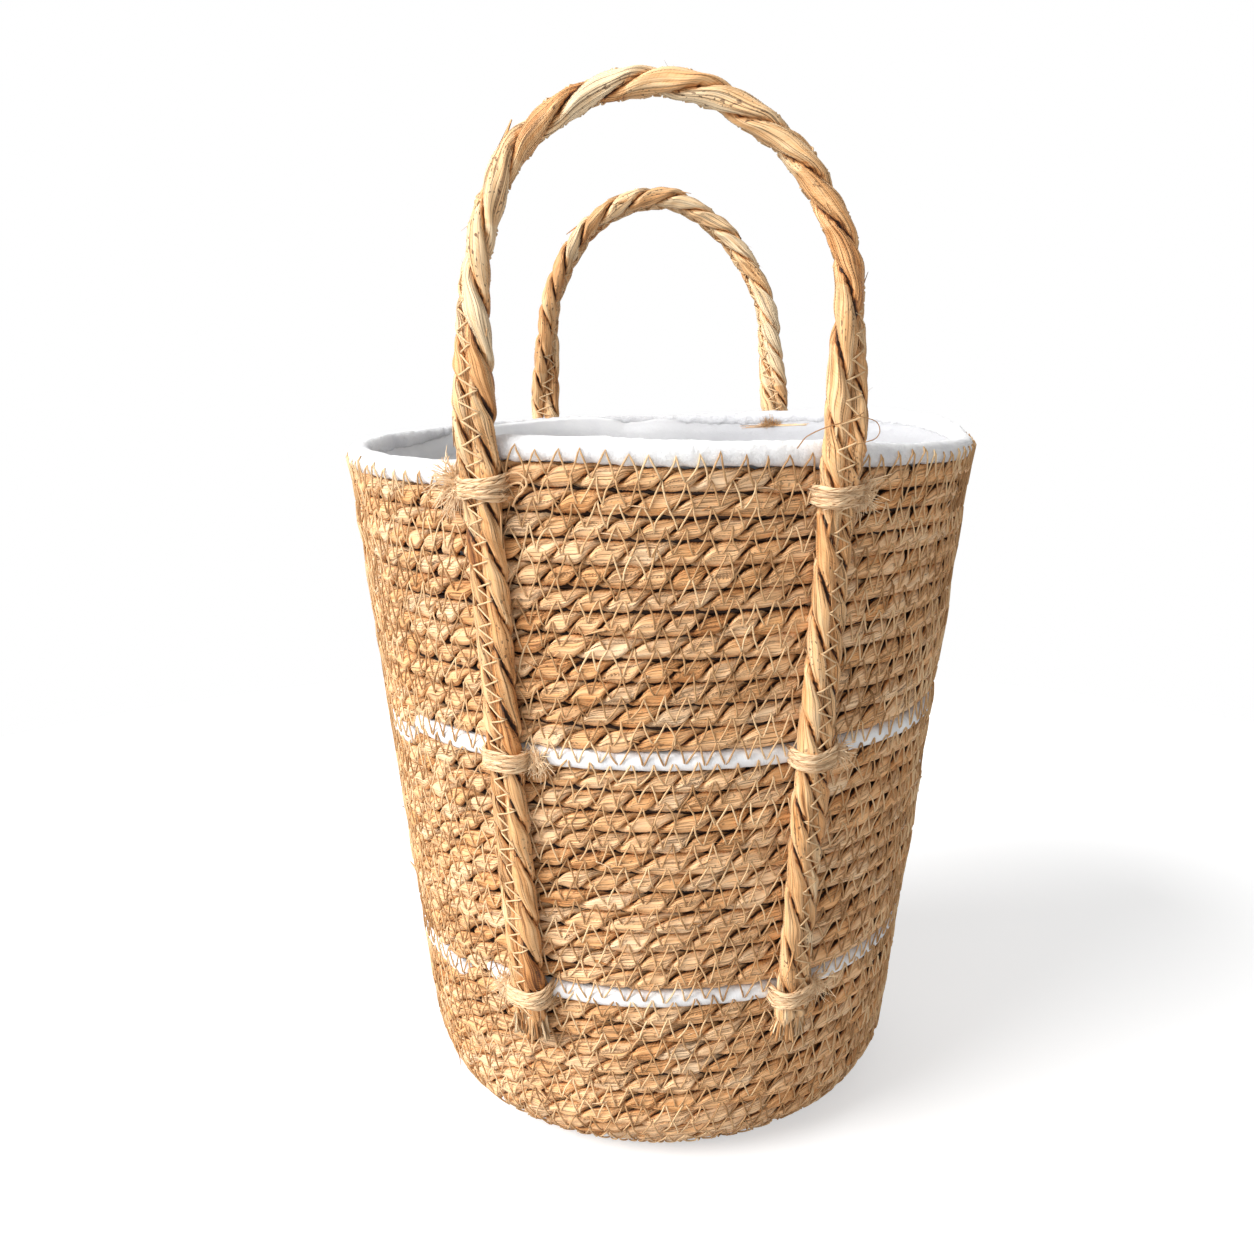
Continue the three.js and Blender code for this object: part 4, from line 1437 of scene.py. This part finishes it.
def loose_threads():
    front = -(HANDLE_PLANE + THICK_RADIUS + 1.6 * MM)
    shape = Shape()
    for route, radius in ((LOOSE_END, 0.22 * MM), (LOOSE_LOOP, 0.18 * MM)):
        path = rounded_route(route, front, 40)
        path[:, 1] += 3 * MM * smoothstep(np.abs(path[:, 0] - 66 * MM), 4 * MM, 16 * MM)
        thread(shape, path, np.tile([0.0, -1, 0], (40, 1)), radius, tone=0.2)
    piece = shape.make("front_loose_threads", thread_look)
    bends_with(piece)
    curls = Shape()
    for route in CURLED_ENDS:
        path = rounded_route(route, 0.0, 30)
        azimuth = np.arcsin(path[:, 0] / (SEAM_RADIUS - 1 * MM))
        path[:, 1] = -(SEAM_RADIUS + 1.6 * MM) * np.cos(azimuth)
        thread(curls, path, np.tile([0.0, -1, 0], (30, 1)), 0.42 * MM, tone=0.4)
    piece = curls.make("top_tie_curls", jute_look)
    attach(piece, "basket")


def rim_tuft():
    tuft_rng = np.random.default_rng(31)
    shape = Shape()
    for _ in range(TUFT_STRIPS):
        first = tuft_rng.integers(0, 14)
        last = tuft_rng.integers(22, 40)
        azimuth = np.linspace(*TUFT_AZIMUTHS, 40)[first:last]
        depth = (1.7 + 0.4 * tuft_rng.normal() + 0.3 * smooth_noise(tuft_rng, azimuth, 0.05)) * MM
        path = liner_surface(azimuth, depth)
        inwards = unit(path * np.array([-1, -1, 0]))
        thread(shape, path + inwards * 0.3 * MM, inwards, 0.13 * MM, 4, tuft_rng.uniform(0.4, 1.1))
    for _ in range(TUFT_HAIRS):
        azimuth = np.array(TUFT_MIDDLE + tuft_rng.normal(0, 0.02))
        start = liner_surface(azimuth, np.array(1.6 * MM))
        inwards = unit(start * np.array([-1, -1, 0]))
        way = unit(inwards * 0.35 + np.array([tuft_rng.normal(0, 0.8), 0, abs(tuft_rng.normal(0.8, 0.5))]))
        reach = tuft_rng.uniform(2, 6.5) * MM
        tone = tuft_rng.uniform(0.3, 1.1)
        loose_fibre(shape, tuft_rng, start, way, reach, 0.24 * MM, "front", sag=0.1, tone=tone)
    piece = shape.make("rim_tuft", handle_straw)
    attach(piece, "basket")


loose_threads()
rim_tuft()


# Studio: a pale floor, soft light from the front left with a weaker fill and back light, and a white
# backdrop that camera, mirrored and passing rays see, but that doesn't light the basket
WHITE = (1, 1, 1, 1)
FLOOR_RADIUS = 0.8
FLOOR_GLOW = 0.53
AMBIENT_STRENGTH = 0.28


def studio():
    floor_nodes = Nodes(bpy.data.materials.new("floor"))
    floor_nodes.set(Base_Color=srgb(0.78, 0.78, 0.78), Roughness=0.9)
    floor_nodes.set(Specular_IOR_Level=0.0, Emission_Color=WHITE)
    # The camera sees the floor paler than it is, so that it ends in the white backdrop and keeps its shadow
    seen_by_camera = floor_nodes.new("ShaderNodeLightPath").outputs["Is Camera Ray"]
    paler = floor_nodes.math("MULTIPLY", seen_by_camera, FLOOR_GLOW)
    floor_nodes.tree.links.new(paler, floor_nodes.shader.inputs["Emission Strength"])
    bpy.ops.mesh.primitive_circle_add(
        vertices=128, radius=FLOOR_RADIUS, fill_type="NGON", location=(0, 0, 0),
    )
    floor = bpy.context.object
    floor.name = "studio_floor"
    floor.data.materials.append(floor_nodes.owner)
    # Each light comes from a direction, with its strength and the width of its soft source in degrees
    lights = (
        ("key", (-0.73, -0.37, 0.57), 4.9, 40),
        ("fill", (-0.3, -1.0, 0.1), 1.25, 90),
        ("back", (0.0, 0.85, 0.55), 0.8, 80),
    )
    for name, towards, strength, width in lights:
        light = bpy.data.lights.new(name, "SUN")
        light.energy = strength
        light.angle = math.radians(width)
        lamp = bpy.data.objects.new(name, light)
        lamp.rotation_euler = mathutils.Vector(towards).to_track_quat("Z", "Y").to_euler()
        bpy.context.scene.collection.objects.link(lamp)
    world = bpy.data.worlds.new("studio")
    bpy.context.scene.world = world
    sky = Nodes(world)
    rays = sky.new("ShaderNodeLightPath").outputs
    seen = sky.math("MAXIMUM", rays["Is Camera Ray"], rays["Is Transmission Ray"])
    seen = sky.math("MAXIMUM", seen, rays["Is Glossy Ray"])
    ambient = sky.new("ShaderNodeBackground", {"Color": WHITE, "Strength": AMBIENT_STRENGTH})
    backdrop = sky.new("ShaderNodeBackground", {"Color": WHITE, "Strength": 1.0})
    mix = sky.new("ShaderNodeMixShader", {0: seen, 1: ambient.outputs[0], 2: backdrop.outputs[0]})
    sky.tree.links.new(mix.outputs[0], sky.tree.nodes["World Output"].inputs["Surface"])
    bpy.context.scene.view_settings.view_transform = "Standard"


# The camera, fitted to the basket's rows and outline. Its lens is shifted by so many of the photograph's
# pixels, because the basket stands that far to the right of the middle.
CAMERA_PLACE = (0, -545.6 * MM, 325.4 * MM)
CAMERA_TILT = math.radians(78.24)
CAMERA_LENS, CAMERA_SENSOR = 33.71, 36
SHIFT_PIXELS, PHOTO_PIXELS = -33, 1254


def photo_camera():
    """The camera stands where the photograph was taken from."""
    camera = bpy.data.cameras.new("photo_camera")
    camera.sensor_width = CAMERA_SENSOR
    camera.lens = CAMERA_LENS
    camera.shift_x = SHIFT_PIXELS / PHOTO_PIXELS
    camera.clip_start = 50 * MM
    stand = bpy.data.objects.new("photo_camera", camera)
    stand.location = CAMERA_PLACE
    stand.rotation_euler = (CAMERA_TILT, 0, 0)
    bpy.context.scene.collection.objects.link(stand)
    bpy.context.scene.camera = stand


studio()
photo_camera()
